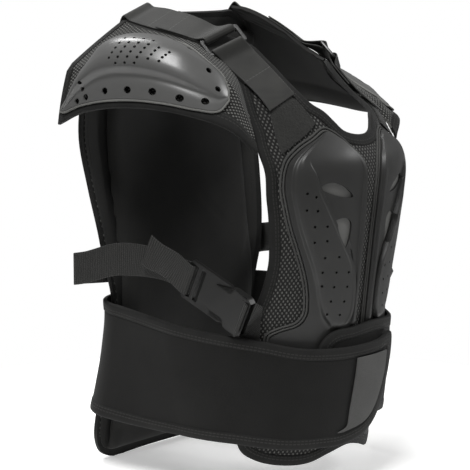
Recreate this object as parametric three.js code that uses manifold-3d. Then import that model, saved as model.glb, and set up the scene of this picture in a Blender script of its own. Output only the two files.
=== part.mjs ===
// Motorcycle armour vest, worn form, in millimetres.
// +Z is up, the chest faces -Y and the wearer's left is +X. The origin lies between the shoulders
// at the height of the strap rings, where the wearer's shoulders carry the vest.
import * as THREE from "three";
import { mergeVertices } from "three/addons/utils/BufferGeometryUtils.js";
import Module from "manifold-3d";

const wasm = await Module();
wasm.setup();

const { lerp, clamp, smoothstep, degToRad } = THREE.MathUtils;

// Driving dimensions
const vestDrop = 510; // shoulders down to the end of the back's tail
const frontHalf = 150; // half the front panel's width, along its curve
const chestRadius = frontHalf * 1.1; // roundest level of the chest, seen from above
const backReach = 125; // from the shoulder line back to the outer face of the back
const chestReach = backReach * 1.496; // from the shoulder line forward to the chest
const backHalf = frontHalf * 1.067; // half the back panel's width
const backBend = 20; // how far the back's sides turn forward
const flapReach = frontHalf * 1.36; // from the middle out to the shoulder flap's lower edge
const shoulderHalf = frontHalf * 0.76; // from the middle to the outer side of the shoulder strap
const leftSag = 24; // how much lower the left shoulder hangs
const flapRoundness = 0.2; // 0 for a flap creased along its middle, 1 for a round one
const leftHang = 0.55; // fall of the left flap for each mm beyond the strap
const panelWall = 4; // spacer mesh of the front and the back margin
const padWall = 12; // foam pad inside the back
const flapWall = 3.2; // shoulder flap and yoke
const bindingWidth = 13; // edge binding, seen flat
const bindingProud = 1; // how far the binding stands over both faces
const pipingRadius = 1.4; // welt round the plates and shells
const plateFoot = 3; // moulded flange round each chest plate
const plateRise = 7; // crest of a chest plate above its flange
const shellWall = 2.4; // plastic shoulder shell
const shellRise = 24; // crown of the shoulder shell above the flap
const strapWidth = 38;
const strapWall = 1.8;
const beltHeight = 121;
const beltWall = 3.6;
const beltCorner = 40; // radius of the belt round the back's sides
const patchWall = 1.5; // loop patch under the shoulder strap
const ringWidth = strapWidth + 10;
const ringLength = 26;
const ringBar = 4.5;
const ringWall = 3.4;
const ringStand = 13.5; // ring over the ends of the tongue and the yoke
const buckleWidth = strapWidth + 11;
const buckleWall = 9;
const buckleBar = 5;
const buckleSlot = 6.5; // opening that the webbing passes
const prongWidth = 8;
const prongReach = 22; // how far the prongs go into the other half
const buckleFit = 0.5; // play between the buckle's halves
const slotPlay = 1.2; // slot beyond each edge of the webbing
const femaleLength = 50;
const maleLength = 38;
const seamGap = 0.35; // between pieces that meet edge to edge
const layerGap = 0.6; // between curved layers that lie on each other
const platesGap = frontHalf / 120; // between the chest plates' backs and the panel, for its facets

const sides = [{ name: "right", sign: -1 }, { name: "left", sign: 1 }];

// Materials: colour, roughness, metalness
const finish = (color, roughness, metalness = 0) =>
  new THREE.MeshStandardMaterial({ color, roughness, metalness });
const finishes = {
  mesh: finish(0x262624, 0.9),
  lining: finish(0x1a1a18, 0.8),
  binding: finish(0x2b2b2a, 0.85),
  plate: finish(0x3d3d3b, 0.45),
  inset: finish(0x7c7c7a, 0.6),
  shell: finish(0x6b6b69, 0.35),
  webbing: finish(0x2e2e2c, 0.8),
  strap: finish(0x3a3a39, 0.75),
  patch: finish(0x1c1c1b, 1),
  belt: finish(0x20201f, 0.85),
  tab: finish(0x4a4a49, 0.6),
  buckle: finish(0x232322, 0.4),
  ring: finish(0x2a2a29, 0.35),
};

const vest = new THREE.Group();

function addPiece(name, geometry, material) {
  const mesh = new THREE.Mesh(geometry, material);
  mesh.name = name;
  vest.add(mesh);
}

// Tables: smooth value of one column at a place along another
function column(rows, along, value, at) {
  const last = rows.length - 1;
  if (at <= rows[0][along]) return rows[0][value];
  if (at >= rows[last][along]) return rows[last][value];
  const next = rows.findIndex((row) => row[along] > at);
  const [a, b] = [rows[next - 1], rows[next]];
  const slopeAt = (index) => {
    const before = rows[Math.max(index - 1, 0)];
    const after = rows[Math.min(index + 1, last)];
    return (after[value] - before[value]) / (after[along] - before[along]);
  };
  const span = b[along] - a[along];
  const t = (at - a[along]) / span;
  const [startSlope, endSlope] = [slopeAt(next - 1) * span, slopeAt(next) * span];
  const [squared, cubed] = [t * t, t * t * t];
  return (2 * cubed - 3 * squared + 1) * a[value] + (cubed - 2 * squared + t) * startSlope
    + (3 * squared - 2 * cubed) * b[value] + (cubed - squared) * endSlope;
}

// Solids: closed body from points and triangles, turned to face outwards
function solid(points, faces) {
  const spat = (a, b, c) => points[a].dot(new THREE.Vector3().crossVectors(points[b], points[c]));
  const volume = faces.reduce((sum, [a, b, c]) => sum + spat(a, b, c), 0);
  const geometry = new THREE.BufferGeometry();
  geometry.setAttribute("position", new THREE.Float32BufferAttribute(points.flatMap((p) => p.toArray()), 3));
  geometry.setIndex(faces.flatMap(([a, b, c]) => (volume > 0 ? [a, b, c] : [a, c, b])));
  return geometry;
}

// A sheet with a wall: outer and inner points, and the quads that join them
function sheet(outer, inner, quads) {
  const count = outer.length;
  const faces = [];
  const openEdges = new Map();
  for (const quad of quads) {
    const [a, b, c, d] = quad;
    faces.push([a, b, c], [a, c, d], [count + a, count + c, count + b], [count + a, count + d, count + c]);
    quad.forEach((start, corner) => {
      const end = quad[(corner + 1) % quad.length];
      if (!openEdges.delete(`${end},${start}`)) openEdges.set(`${start},${end}`, [start, end]);
    });
  }
  for (const [start, end] of openEdges.values()) {
    faces.push([end, start, count + start], [end, count + start, count + end]);
  }
  return solid([...outer, ...inner], faces);
}

// A sheet over a grid of surface places
function gridSheet(rows, outerPlace, innerPlace) {
  const width = rows[0].length;
  const quads = [];
  for (let row = 0; row < rows.length - 1; row++) {
    for (let step = 0; step < width - 1; step++) {
      const corner = row * width + step;
      quads.push([corner, corner + width, corner + width + 1, corner + 1]);
    }
  }
  return sheet(rows.flat().map(outerPlace), rows.flat().map(innerPlace), quads);
}

// A band through sections with as many points each
function band(sections, closed) {
  const around = sections[0].length;
  const faces = [];
  const spans = closed ? sections.length : sections.length - 1;
  for (let span = 0; span < spans; span++) {
    const [here, there] = [span * around, ((span + 1) % sections.length) * around];
    for (let side = 0; side < around; side++) {
      const next = (side + 1) % around;
      faces.push([here + side, there + side, there + next], [here + side, there + next, here + next]);
    }
  }
  if (!closed) {
    const end = spans * around;
    for (let side = 1; side < around - 1; side++) {
      faces.push([0, side, side + 1], [end, end + side + 1, end + side]);
    }
  }
  return solid(sections.flat(), faces);
}

// A flat ribbon through stations that give its two edges
function ribbon(stations, wall) {
  const middles = stations.map(({ left, right }) => left.clone().lerp(right, 0.5));
  return band(stations.map(({ left, right }, index) => {
    const before = middles[Math.max(index - 1, 0)];
    const after = middles[Math.min(index + 1, middles.length - 1)];
    const across = right.clone().sub(left);
    const half = across.cross(after.clone().sub(before)).setLength(wall / 2);
    return [left.clone().add(half), right.clone().add(half), right.clone().sub(half), left.clone().sub(half)];
  }), false);
}

// A flat outline moved inwards by a distance, or outwards if it is negative
function inset(loop, distance) {
  const area = loop.reduce((sum, [x, y], index) => {
    const [nextX, nextY] = loop[(index + 1) % loop.length];
    return sum + x * nextY - nextX * y;
  }, 0);
  const turn = Math.sign(area);
  const normal = ([x, y], [nextX, nextY]) => {
    const length = Math.hypot(nextX - x, nextY - y);
    return [-(nextY - y) / length * turn, (nextX - x) / length * turn];
  };
  return loop.map((corner, index) => {
    const before = loop[(index + loop.length - 1) % loop.length];
    const after = loop[(index + 1) % loop.length];
    const [a, b] = [normal(before, corner), normal(corner, after)];
    const miter = distance / Math.max(1 + a[0] * b[0] + a[1] * b[1], 0.5);
    return [corner[0] + (a[0] + b[0]) * miter, corner[1] + (a[1] + b[1]) * miter];
  });
}

// Binding: a flat tape round an outline on a surface, or along its first stations
function bindingAround(loop, place, wall, stations = loop.length) {
  const inner = inset(loop, bindingWidth);
  const [over, under] = [bindingProud, -wall - bindingProud];
  return band(loop.slice(0, stations).map(([p, q], index) => {
    const [innerP, innerQ] = inner[index];
    return [place(p, q, over), place(innerP, innerQ, over), place(innerP, innerQ, under), place(p, q, under)];
  }), stations === loop.length);
}

// Piping: a round welt just outside an outline on a surface
function pipingAround(loop, place) {
  const around = 3;
  const rings = Array.from({ length: around }, (_, side) => {
    const angle = 2 * Math.PI * side / around;
    const offset = -(pipingRadius + seamGap) - pipingRadius * Math.cos(angle);
    const lift = platesGap + pipingRadius * (1 + Math.sin(angle));
    return { loop: inset(loop, offset), lift };
  });
  return band(loop.map((_, index) => rings.map((ring) => place(...ring.loop[index], ring.lift))), true);
}

// The left shoulder hangs lower than the right one, and its flap lies flatter
function settle(point) {
  const outwards = smoothstep(point.x, 0, shoulderHalf * 0.6);
  const forwards = smoothstep(backReach * 0.75 - point.y, 0, backReach * 1.25);
  const upwards = smoothstep(point.z, -vestDrop * 0.255, -vestDrop * 0.06);
  const hanging = smoothstep(point.z, -vestDrop * 0.2, -vestDrop * 0.03);
  const beyond = Math.max(point.x - shoulderHalf, 0);
  point.z -= leftSag * outwards * forwards * upwards + leftHang * beyond * hanging;
  return point;
}

// A surface from its plain form: adds the lift along the normal, then the sag
function surface(form) {
  const step = 1;
  return (p, q, lift) => {
    const point = form(p, q);
    const alongP = form(p + step, q).sub(form(p - step, q));
    const alongQ = form(p, q + step).sub(form(p, q - step));
    const normal = alongP.cross(alongQ).normalize();
    return settle(point.addScaledVector(normal, lift));
  };
}

// Front form: round sections, each with its radius and its reach forward
const frontForm = [
  { down: -0.04, radius: 0.64, reach: 0.38 },
  { down: 0, radius: 0.71, reach: 0.455 },
  { down: 0.04, radius: 0.75, reach: 0.545 },
  { down: 0.08, radius: 0.8, reach: 0.655 },
  { down: 0.14, radius: 0.92, reach: 0.812 },
  { down: 0.213, radius: 0.985, reach: 0.905 },
  { down: 0.276, radius: 1, reach: 0.984 },
  { down: 0.353, radius: 0.988, reach: 0.979 },
  { down: 0.443, radius: 0.97, reach: 0.952 },
  { down: 0.535, radius: 0.939, reach: 0.925 },
  { down: 0.65, radius: 0.907, reach: 0.893 },
  { down: 0.75, radius: 0.885, reach: 0.885 },
  { down: 0.85, radius: 0.84, reach: 0.86 },
  { down: 0.96, radius: 0.77, reach: 0.81 },
];
const frontRadius = (z) => chestRadius * column(frontForm, "down", "radius", -z / vestDrop);
const frontForward = (z) => chestReach * column(frontForm, "down", "reach", -z / vestDrop);
function frontShape(u, z) {
  const radius = frontRadius(z);
  const angle = u / radius;
  return new THREE.Vector3(radius * Math.sin(angle), radius - frontForward(z) - radius * Math.cos(angle), z);
}
const frontPlace = surface(frontShape);

// Front panel: rows from the armhole edge to the neck, then to the middle of the chest
const frontRows = [
  { edge: 0.868, edgeDown: 0.05, neck: 0.527, neckDown: 0.014 },
  { edge: 0.835, edgeDown: 0.088, neck: 0.46, neckDown: 0.055 },
  { edge: 0.893, edgeDown: 0.122, neck: 0.433, neckDown: 0.104 },
  { edge: 0.92, edgeDown: 0.153, neck: 0.387, neckDown: 0.141 },
  { edge: 0.92, edgeDown: 0.18, neck: 0.3, neckDown: 0.161 },
  { edge: 0.913, edgeDown: 0.204, neck: 0.233, neckDown: 0.184 },
  { edge: 0.927, edgeDown: 0.229, neck: 0.165, neckDown: 0.204 },
  { edge: 0.933, edgeDown: 0.257, neck: 0, neckDown: 0.214 },
  { edge: 0.92, edgeDown: 0.294, middleDown: 0.268 },
  { edge: 0.905, edgeDown: 0.339, middleDown: 0.322 },
  { edge: 0.873, edgeDown: 0.392, middleDown: 0.385 },
  { edge: 0.847, edgeDown: 0.451, middleDown: 0.451 },
  { edge: 0.84, edgeDown: 0.49, middleDown: 0.49 },
  { edge: 0.867, edgeDown: 0.547, middleDown: 0.547 },
  { edge: 0.913, edgeDown: 0.592, middleDown: 0.592 },
  { edge: 0.967, edgeDown: 0.631, middleDown: 0.638 },
  { edge: 0.993, edgeDown: 0.69, middleDown: 0.7 },
  { edge: 1, edgeDown: 0.785, middleDown: 0.8 },
  { edge: 0.99, edgeDown: 0.87, middleDown: 0.87 },
];
const hemSteps = [
  { out: 0, down: 0.925 },
  { out: 0.19, down: 0.936 },
  { out: 0.38, down: 0.953 },
  { out: 0.58, down: 0.954 },
  { out: 0.79, down: 0.942 },
  { out: 0.93, down: 0.918 },
];

const mirrored = ([x, y]) => [-x, y];
const neckRows = frontRows.filter((row) => row.neck !== undefined);
const frontEdge = frontRows.map((row) => [row.edge * frontHalf, -row.edgeDown * vestDrop]);
const neckEdge = neckRows.map((row) => [row.neck * frontHalf, -row.neckDown * vestDrop]);
const hemEdge = hemSteps.map((step) => [step.out * frontHalf, -step.down * vestDrop]);
const frontLoop = [
  ...frontEdge,
  ...hemEdge.toReversed(),
  ...hemEdge.slice(1).map(mirrored),
  ...frontEdge.map(mirrored).toReversed(),
  ...neckEdge.map(mirrored),
  ...neckEdge.slice(0, -1).toReversed(),
];

function makeFront() {
  const steps = hemSteps.length - 1; // across each half
  const loop = inset(frontLoop, bindingWidth + seamGap);
  const edge = loop.slice(0, frontEdge.length);
  const hem = loop.slice(frontEdge.length, frontEdge.length + hemEdge.length).toReversed();
  const neckTurn = loop.length - (neckEdge.length - 1);
  const neck = [...loop.slice(neckTurn).toReversed(), loop[neckTurn - 1]];
  const rows = edge.map((outer, index) => {
    const middle = [0, -(frontRows[index].middleDown ?? 0) * vestDrop];
    const inner = neck[index] ?? middle;
    return Array.from({ length: steps + 1 }, (_, step) => {
      const t = step / steps;
      return [lerp(inner[0], outer[0], t), lerp(inner[1], outer[1], t)];
    });
  });
  rows.push(hem);
  const places = [];
  const indexOf = new Map();
  const pointIndex = (sign, row, step) => {
    const key = step === 0 && row >= neckEdge.length - 1 ? `${row}` : `${sign},${row},${step}`;
    if (!indexOf.has(key)) {
      indexOf.set(key, places.length);
      places.push([sign * rows[row][step][0], rows[row][step][1]]);
    }
    return indexOf.get(key);
  };
  const quads = [];
  for (const { sign } of sides) {
    for (let row = 0; row < rows.length - 1; row++) {
      for (let step = 0; step < steps; step++) {
        const quad = [[row, step], [row + 1, step], [row + 1, step + 1], [row, step + 1]];
        const corners = quad.map(([r, s]) => pointIndex(sign, r, s));
        quads.push(sign > 0 ? corners : corners.toReversed());
      }
    }
  }
  const outer = places.map(([u, z]) => frontPlace(u, z, 0));
  const inner = places.map(([u, z]) => frontPlace(u, z, -panelWall));
  addPiece("front_panel", sheet(outer, inner, quads), finishes.mesh);
  addPiece("front_binding", bindingAround(frontLoop, frontPlace, panelWall), finishes.binding);
}

// Chest plates: rows of edges, crest and heights, from the tip down to the foot under the belt
const plateRows = [
  { down: 0.207, inner: 0.345, outer: 0.375, crest: 0.36, field: 0.1, valley: 0.1 },
  { down: 0.222, inner: 0.265, outer: 0.47, crest: 0.4, field: 0.3, valley: 0.3 },
  { down: 0.243, inner: 0.2, outer: 0.62, crest: 0.5, field: 0.5, valley: 0.45 },
  { down: 0.268, inner: 0.127, outer: 0.735, crest: 0.595, field: 0.62, valley: 0.55 },
  { down: 0.29, inner: 0.1, outer: 0.77, crest: 0.565, field: 0.8, valley: 0.42 },
  { down: 0.32, inner: 0.093, outer: 0.775, crest: 0.517, field: 0.92, valley: 0.3 },
  { down: 0.353, inner: 0.087, outer: 0.75, crest: 0.46, field: 1, valley: 0.25 },
  { down: 0.402, inner: 0.08, outer: 0.7, crest: 0.366, field: 1, valley: 0.25 },
  { down: 0.455, inner: 0.077, outer: 0.627, crest: 0.265, field: 0.95, valley: 0.3 },
  { down: 0.5, inner: 0.075, outer: 0.567, crest: 0.185, field: 0.9, valley: 0.45 },
  { down: 0.535, inner: 0.073, outer: 0.53, crest: 0.16, field: 0.88, valley: 0.3 },
  { down: 0.575, inner: 0.073, outer: 0.507, crest: 0.165, field: 0.86, valley: 0.1 },
  { down: 0.608, inner: 0.073, outer: 0.51, crest: 0.19, field: 0.8, valley: 0.06 },
  { down: 0.63, inner: 0.073, outer: 0.57, crest: 0.235, field: 0.55, valley: 0.05 },
  { down: 0.643, inner: 0.073, outer: 0.71, crest: 0.34, field: 0.12, valley: 0.04 },
  { down: 0.655, inner: 0.073, outer: 0.78, crest: 0.42, field: 0, valley: 0 },
  { down: 0.69, inner: 0.073, outer: 0.76, crest: 0.42, field: 0, valley: 0 },
  { down: 0.745, inner: 0.073, outer: 0.74, crest: 0.42, field: 0, valley: 0 },
];
const plateHoles = [
  { out: 0.62, down: 0.33 }, { out: 0.553, down: 0.338 }, { out: 0.613, down: 0.367 },
  { out: 0.533, down: 0.369 }, { out: 0.54, down: 0.404 }, { out: 0.447, down: 0.404 },
  { out: 0.527, down: 0.439 }, { out: 0.433, down: 0.437 }, { out: 0.433, down: 0.475 },
  { out: 0.32, down: 0.475 }, { out: 0.44, down: 0.508 }, { out: 0.327, down: 0.51 },
  { out: 0.22, down: 0.512 }, { out: 0.433, down: 0.539 }, { out: 0.333, down: 0.543 },
  { out: 0.22, down: 0.545 }, { out: 0.347, down: 0.575 }, { out: 0.233, down: 0.578 },
  { out: 0.367, down: 0.604 }, { out: 0.26, down: 0.608 },
];
const upperVent = [
  { out: 0.513, down: 0.32 }, { out: 0.42, down: 0.31 }, { out: 0.273, down: 0.329 },
  { out: 0.227, down: 0.345 }, { out: 0.36, down: 0.341 },
];
const lowerVent = [
  { out: 0.367, down: 0.4 }, { out: 0.293, down: 0.39 },
  { out: 0.22, down: 0.402 }, { out: 0.247, down: 0.461 },
];
const plateHoleRadius = 1.5;
const ventSeat = 1; // how far the insets lie above the backs of the plates
const cutterReach = 1.6; // cutters stand over a rise by this much

// Height of the plate's face over its flange, across one row from the inner to the outer edge
const plateSteps = [
  { from: "inner", by: 0, height: () => 0 },
  { from: "inner", by: 0.04, height: (row) => row.valley * 0.5 + row.field * 0.4 },
  { from: "inner", by: 0.09, height: (row) => row.valley },
  { from: "valley", by: 0, height: (row) => row.valley },
  { from: "crest", by: -0.03, height: (row) => row.valley },
  { from: "crest", by: 0, height: (row) => row.field },
  { from: "crest", by: 0.14, height: (row) => row.field * 0.9 },
  { from: "outer", by: -0.07, height: (row) => row.field * 0.68 },
  { from: "outer", by: -0.03, height: () => 0 },
  { from: "outer", by: 0, height: () => 0 },
];

const plateFullWidth = 0.45; // rows narrower than this draw their steps together
const plateLeastStep = 0.02; // as a share of the row
const valleyShift = 0.03; // lowest line of the valley, outwards from halfway to the crest

function plateRow(row) {
  const width = row.outer - row.inner;
  const wide = clamp(width / plateFullWidth, 0, 1);
  const marks = { ...row, valley: (row.inner + row.crest) / 2 + valleyShift };
  const outs = plateSteps.map((step) => marks[step.from] + step.by * wide);
  const last = outs.length - 1;
  const floors = outs.map((_, index) => row.inner + width * plateLeastStep * index);
  const ceilings = outs.map((_, index) => row.outer - width * plateLeastStep * (last - index));
  return outs.map((out, index) => ({
    u: clamp(out, floors[index], ceilings[index]) * frontHalf,
    z: -row.down * vestDrop,
    height: plateFoot + plateRise * plateSteps[index].height(row),
  }));
}

function toManifold(geometry) {
  const plain = new THREE.BufferGeometry();
  plain.setAttribute("position", geometry.getAttribute("position").clone());
  plain.setIndex(geometry.getIndex());
  const merged = mergeVertices(plain, 1e-4);
  const vertProperties = new Float32Array(merged.getAttribute("position").array);
  const triVerts = new Uint32Array(merged.getIndex().array);
  return new wasm.Manifold(new wasm.Mesh({ numProp: 3, vertProperties, triVerts }));
}

function fromManifold(body) {
  const { vertProperties, triVerts } = body.getMesh();
  const geometry = new THREE.BufferGeometry();
  geometry.setAttribute("position", new THREE.Float32BufferAttribute(vertProperties, 3));
  geometry.setIndex(Array.from(triVerts));
  return geometry;
}

// A straight prism that stands on a surface over a flat outline, square to it at the outline's middle
function prism(loop, place, low, high) {
  const middle = [0, 1].map((axis) => loop.reduce((sum, corner) => sum + corner[axis], 0) / loop.length);
  const rise = place(...middle, high).sub(place(...middle, low));
  const base = loop.map(([p, q]) => place(p, q, low));
  return band([base, base.map((corner) => corner.clone().add(rise))], false);
}

const roundLoop = (p, q, radiusP, radiusQ, corners) => Array.from({ length: corners }, (_, corner) => {
  const angle = 2 * Math.PI * corner / corners;
  return [p + radiusP * Math.cos(angle), q + radiusQ * Math.sin(angle)];
});

function cutThrough(geometry, cutters) {
  const tools = wasm.Manifold.union(cutters.map(toManifold));
  return fromManifold(toManifold(geometry).subtract(tools));
}

const plateEdge = (key) => plateRows.map((row) => [row[key] * frontHalf, -row.down * vestDrop]);
const plateFootEdge = plateRow(plateRows.at(-1)).map(({ u, z }) => [u, z]).slice(1, -1).toReversed();
const plateLoop = [...plateEdge("outer"), ...plateFootEdge, ...plateEdge("inner").toReversed()];

function makeChestPlate({ name, sign }) {
  const rows = plateRows.map(plateRow);
  const face = ({ u, z, height }) => frontPlace(sign * u, z, platesGap + height);
  const back = ({ u, z }) => frontPlace(sign * u, z, platesGap);
  const place = (u, z, lift) => frontPlace(sign * u, z, lift);
  const toLoop = (points) => points.map(({ out, down }) => [out * frontHalf, -down * vestDrop]);
  const above = platesGap + plateFoot + plateRise * cutterReach;
  const vents = [upperVent, lowerVent].map(toLoop);
  const holes = plateHoles.map(({ out, down }) =>
    roundLoop(out * frontHalf, -down * vestDrop, plateHoleRadius, plateHoleRadius, 4));
  const cutters = [...vents, ...holes].map((loop) => prism(loop, place, -layerGap, above));
  addPiece(`chest_plate_${name}`, cutThrough(gridSheet(rows, face, back), cutters), finishes.plate);
  addPiece(`chest_piping_${name}`, pipingAround(plateLoop, place), finishes.binding);
  vents.forEach((loop, index) => {
    const filling = prism(inset(loop, 2 * seamGap), place, platesGap + ventSeat, platesGap + plateFoot);
    addPiece(`vent_inset_${["upper", "lower"][index]}_${name}`, filling, finishes.inset);
  });
}

// Back form: nearly flat, leaning forward to the neck, its sides turning forward
const backForm = [
  { down: -0.1, reach: 0.58, bend: 0.4 },
  { down: -0.055, reach: 0.7, bend: 0.4 },
  { down: 0, reach: 0.79, bend: 0.35 },
  { down: 0.1, reach: 0.93, bend: 0.25 },
  { down: 0.225, reach: 1, bend: 0.25 },
  { down: 0.35, reach: 0.965, bend: 0.65 },
  { down: 0.47, reach: 0.905, bend: 1 },
  { down: 0.6, reach: 0.84, bend: 1 },
  { down: 0.72, reach: 0.88, bend: 0.9 },
  { down: 0.84, reach: 0.95, bend: 0.7 },
  { down: 1.02, reach: 1.04, bend: 0.4 },
];
const backDepth = (z) => backReach * column(backForm, "down", "reach", -z / vestDrop);
const backTurn = (z) => backBend * column(backForm, "down", "bend", -z / vestDrop);
const backPlace = surface((x, z) =>
  new THREE.Vector3(-x, backDepth(z) - backTurn(z) * (x / backHalf) ** 4, z));

// Back panel: rows of half widths; the neckline dips in the middle of the top row
const backRows = [
  { edge: 0.47, edgeDown: -0.053, middleDown: -0.05 },
  { edge: 0.7, edgeDown: -0.02, middleDown: -0.008 },
  { edge: 0.9, edgeDown: 0.06, middleDown: 0.06 },
  { edge: 0.985, edgeDown: 0.14, middleDown: 0.14 },
  { edge: 1, edgeDown: 0.22, middleDown: 0.22 },
  { edge: 0.985, edgeDown: 0.33, middleDown: 0.33 },
  { edge: 0.945, edgeDown: 0.44, middleDown: 0.44 },
  { edge: 0.9, edgeDown: 0.53, middleDown: 0.53 },
  { edge: 0.83, edgeDown: 0.61, middleDown: 0.61 },
  { edge: 0.82, edgeDown: 0.72, middleDown: 0.72 },
  { edge: 0.86, edgeDown: 0.83, middleDown: 0.83 },
  { edge: 0.9, edgeDown: 0.9, middleDown: 0.9 },
  { edge: 0.9, edgeDown: 0.94, middleDown: 0.93 },
  { edge: 0.85, edgeDown: 0.974, middleDown: 0.96 },
  { edge: 0.7, edgeDown: 0.996, middleDown: 0.992 },
];
const backPadHalf = 0.735; // half width of the foam pad, as a share of the back's
const backSteps = 6;

function backLine(edge, edgeDown, middleDown) {
  return Array.from({ length: backSteps + 1 }, (_, step) => {
    const t = 2 * step / backSteps - 1;
    return [t * edge, lerp(middleDown, edgeDown, t * t)];
  });
}

function makeBack() {
  const lines = backRows.map((row) =>
    backLine(row.edge * backHalf, -row.edgeDown * vestDrop, -row.middleDown * vestDrop));
  const [top, bottom] = [lines[0], lines.at(-1)];
  const middle = lines.slice(1, -1);
  const loop = [
    ...top,
    ...middle.map((line) => line.at(-1)),
    ...bottom.toReversed(),
    ...middle.map((line) => line[0]).toReversed(),
  ];
  const edges = inset(loop, bindingWidth + seamGap);
  const leftEnd = (index) => edges[loop.length - index];
  const rightEnd = (index) => edges[backSteps + index];
  const rows = lines.map((line, index) => {
    if (index === 0) return edges.slice(0, backSteps + 1);
    if (index === lines.length - 1) {
      return edges.slice(backSteps + index, 2 * backSteps + index + 1).toReversed();
    }
    const [left, right] = [leftEnd(index), rightEnd(index)];
    const middleDown = line[backSteps / 2][1];
    return line.map((_, step) => {
      const t = 2 * step / backSteps - 1;
      return [lerp(left[0], right[0], (t + 1) / 2), lerp(middleDown, right[1], t * t)];
    });
  });
  const panelFace = ([x, z]) => backPlace(x, z, 0);
  const panelInside = ([x, z]) => backPlace(x, z, -panelWall);
  addPiece("back_panel", gridSheet(rows, panelFace, panelInside), finishes.mesh);
  addPiece("back_binding", bindingAround(loop, backPlace, panelWall), finishes.binding);
}

// Foam pad: wall and width of each row, then of each step across it
const padRows = [
  { down: -0.01, wall: 0.35, width: 0.961 },
  { down: 0.05, wall: 0.9, width: 0.994 },
  { down: 0.15, wall: 1, width: 1 },
  { down: 0.3, wall: 1, width: 1 },
  { down: 0.45, wall: 1, width: 1 },
  { down: 0.6, wall: 1, width: 1 },
  { down: 0.75, wall: 1, width: 1 },
  { down: 0.9, wall: 0.9, width: 0.994 },
  { down: 0.955, wall: 0.35, width: 0.961 },
];
const padSteps = [
  { across: -1, wall: 0.4 },
  { across: -0.92, wall: 1 },
  { across: -0.55, wall: 1 },
  { across: 0, wall: 1 },
  { across: 0.55, wall: 1 },
  { across: 0.92, wall: 1 },
  { across: 1, wall: 0.4 },
];

function makeBackPad() {
  const padGap = platesGap + seamGap;
  const rows = padRows.map((row) => padSteps.map((step) => ({
    x: step.across * backPadHalf * backHalf * row.width,
    z: -row.down * vestDrop,
    wall: padWall * row.wall * step.wall,
  })));
  const behind = ({ x, z }) => backPlace(x, z, -panelWall - bindingProud - padGap);
  const inside = ({ x, z, wall }) => backPlace(x, z, -panelWall - bindingProud - padGap - wall);
  addPiece("back_pad", gridSheet(rows, behind, inside), finishes.lining);
}

// Shoulders: yoke under the strap, flap over the arm, both lofted through lines from back to front
function loft(lines, sign) {
  const curves = lines.map((line) =>
    new THREE.CatmullRomCurve3(line.map(([x, y, z]) => new THREE.Vector3(sign * x, y, z)), false, "centripetal"));
  const form = (t, v) => {
    const along = clamp(t, 0, 1);
    const [a, b, c] = curves.map((curve) => curve.getPoint(along));
    if (!c) return a.lerp(b, v);
    const round = [(1 - v) * (1 - 2 * v), 4 * v * (1 - v), v * (2 * v - 1)];
    const straight = [Math.max(1 - 2 * v, 0), 1 - Math.abs(1 - 2 * v), Math.max(2 * v - 1, 0)];
    const [wa, wb, wc] = round.map((weight, index) => lerp(straight[index], weight, flapRoundness));
    return a.multiplyScalar(wa).addScaledVector(b, wb).addScaledVector(c, wc);
  };
  const step = 0.01;
  return (t, v, lift) => {
    const [low, high] = [Math.max(t - step, 0), Math.min(t + step, 1)];
    const alongT = form(high, v).sub(form(low, v));
    const alongV = form(t, v + step).sub(form(t, v - step));
    const normal = alongT.cross(alongV).normalize().multiplyScalar(sign);
    return settle(form(t, v).addScaledVector(normal, lift));
  };
}

// Front strap's place on the front panel, at the ring and at its end, and the back strap's on the back
const strapTop = { inner: 0.543, innerDown: 0.0155, outer: 0.85, outerDown: 0.048 };
const strapEnd = { inner: 0.507, innerDown: 0.129, outer: 0.745, outerDown: 0.16 };
const strapOnBack = { inner: 0.48, outer: 0.7, fall: 0.034 };

// Yoke: inner and outer lines, the way along them from the back to just behind the ring, and up
const yokeLines = [
  { inner: 0.66, innerAlong: 0.035, innerUp: 0.0635, outer: 0.985, outerAlong: -0.036, outerUp: 0.032 },
  { inner: 0.67, innerAlong: 0.308, innerUp: 0.058, outer: 1, outerAlong: 0.207, outerUp: 0.016 },
  { inner: 0.69, innerAlong: 0.662, innerUp: 0.036, outer: 1, outerAlong: 0.631, outerUp: 0 },
  { inner: 0.68, innerAlong: 1.015, innerUp: 0.004, outer: 0.985, outerAlong: 0.985, outerUp: -0.022 },
];
const yokeBack = backReach * 0.705;
const yokeFront = (() => {
  const [u, down] = [(strapTop.inner + strapTop.outer) / 2, (strapTop.innerDown + strapTop.outerDown) / 2];
  return frontShape(u * frontHalf, -down * vestDrop).y + ringLength * 0.8;
})();
const yokeLine = (key) => yokeLines.map((row) =>
  [row[key] * shoulderHalf, lerp(yokeBack, yokeFront, row[`${key}Along`]), row[`${key}Up`] * vestDrop]);
const yokeInner = yokeLine("inner");
const yokeOuter = yokeLine("outer");

function makeYoke({ name, sign }) {
  const place = loft([yokeInner, yokeOuter], sign);
  const rows = [0, 0.15, 0.3, 0.45, 0.6, 0.75, 0.88, 1].map((t) => [0, 0.5, 1].map((v) => [t, v]));
  const geometry = gridSheet(rows, ([t, v]) => place(t, v, 0), ([t, v]) => place(t, v, -flapWall));
  addPiece(`shoulder_yoke_${name}`, geometry, finishes.lining);
  return place;
}

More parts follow.
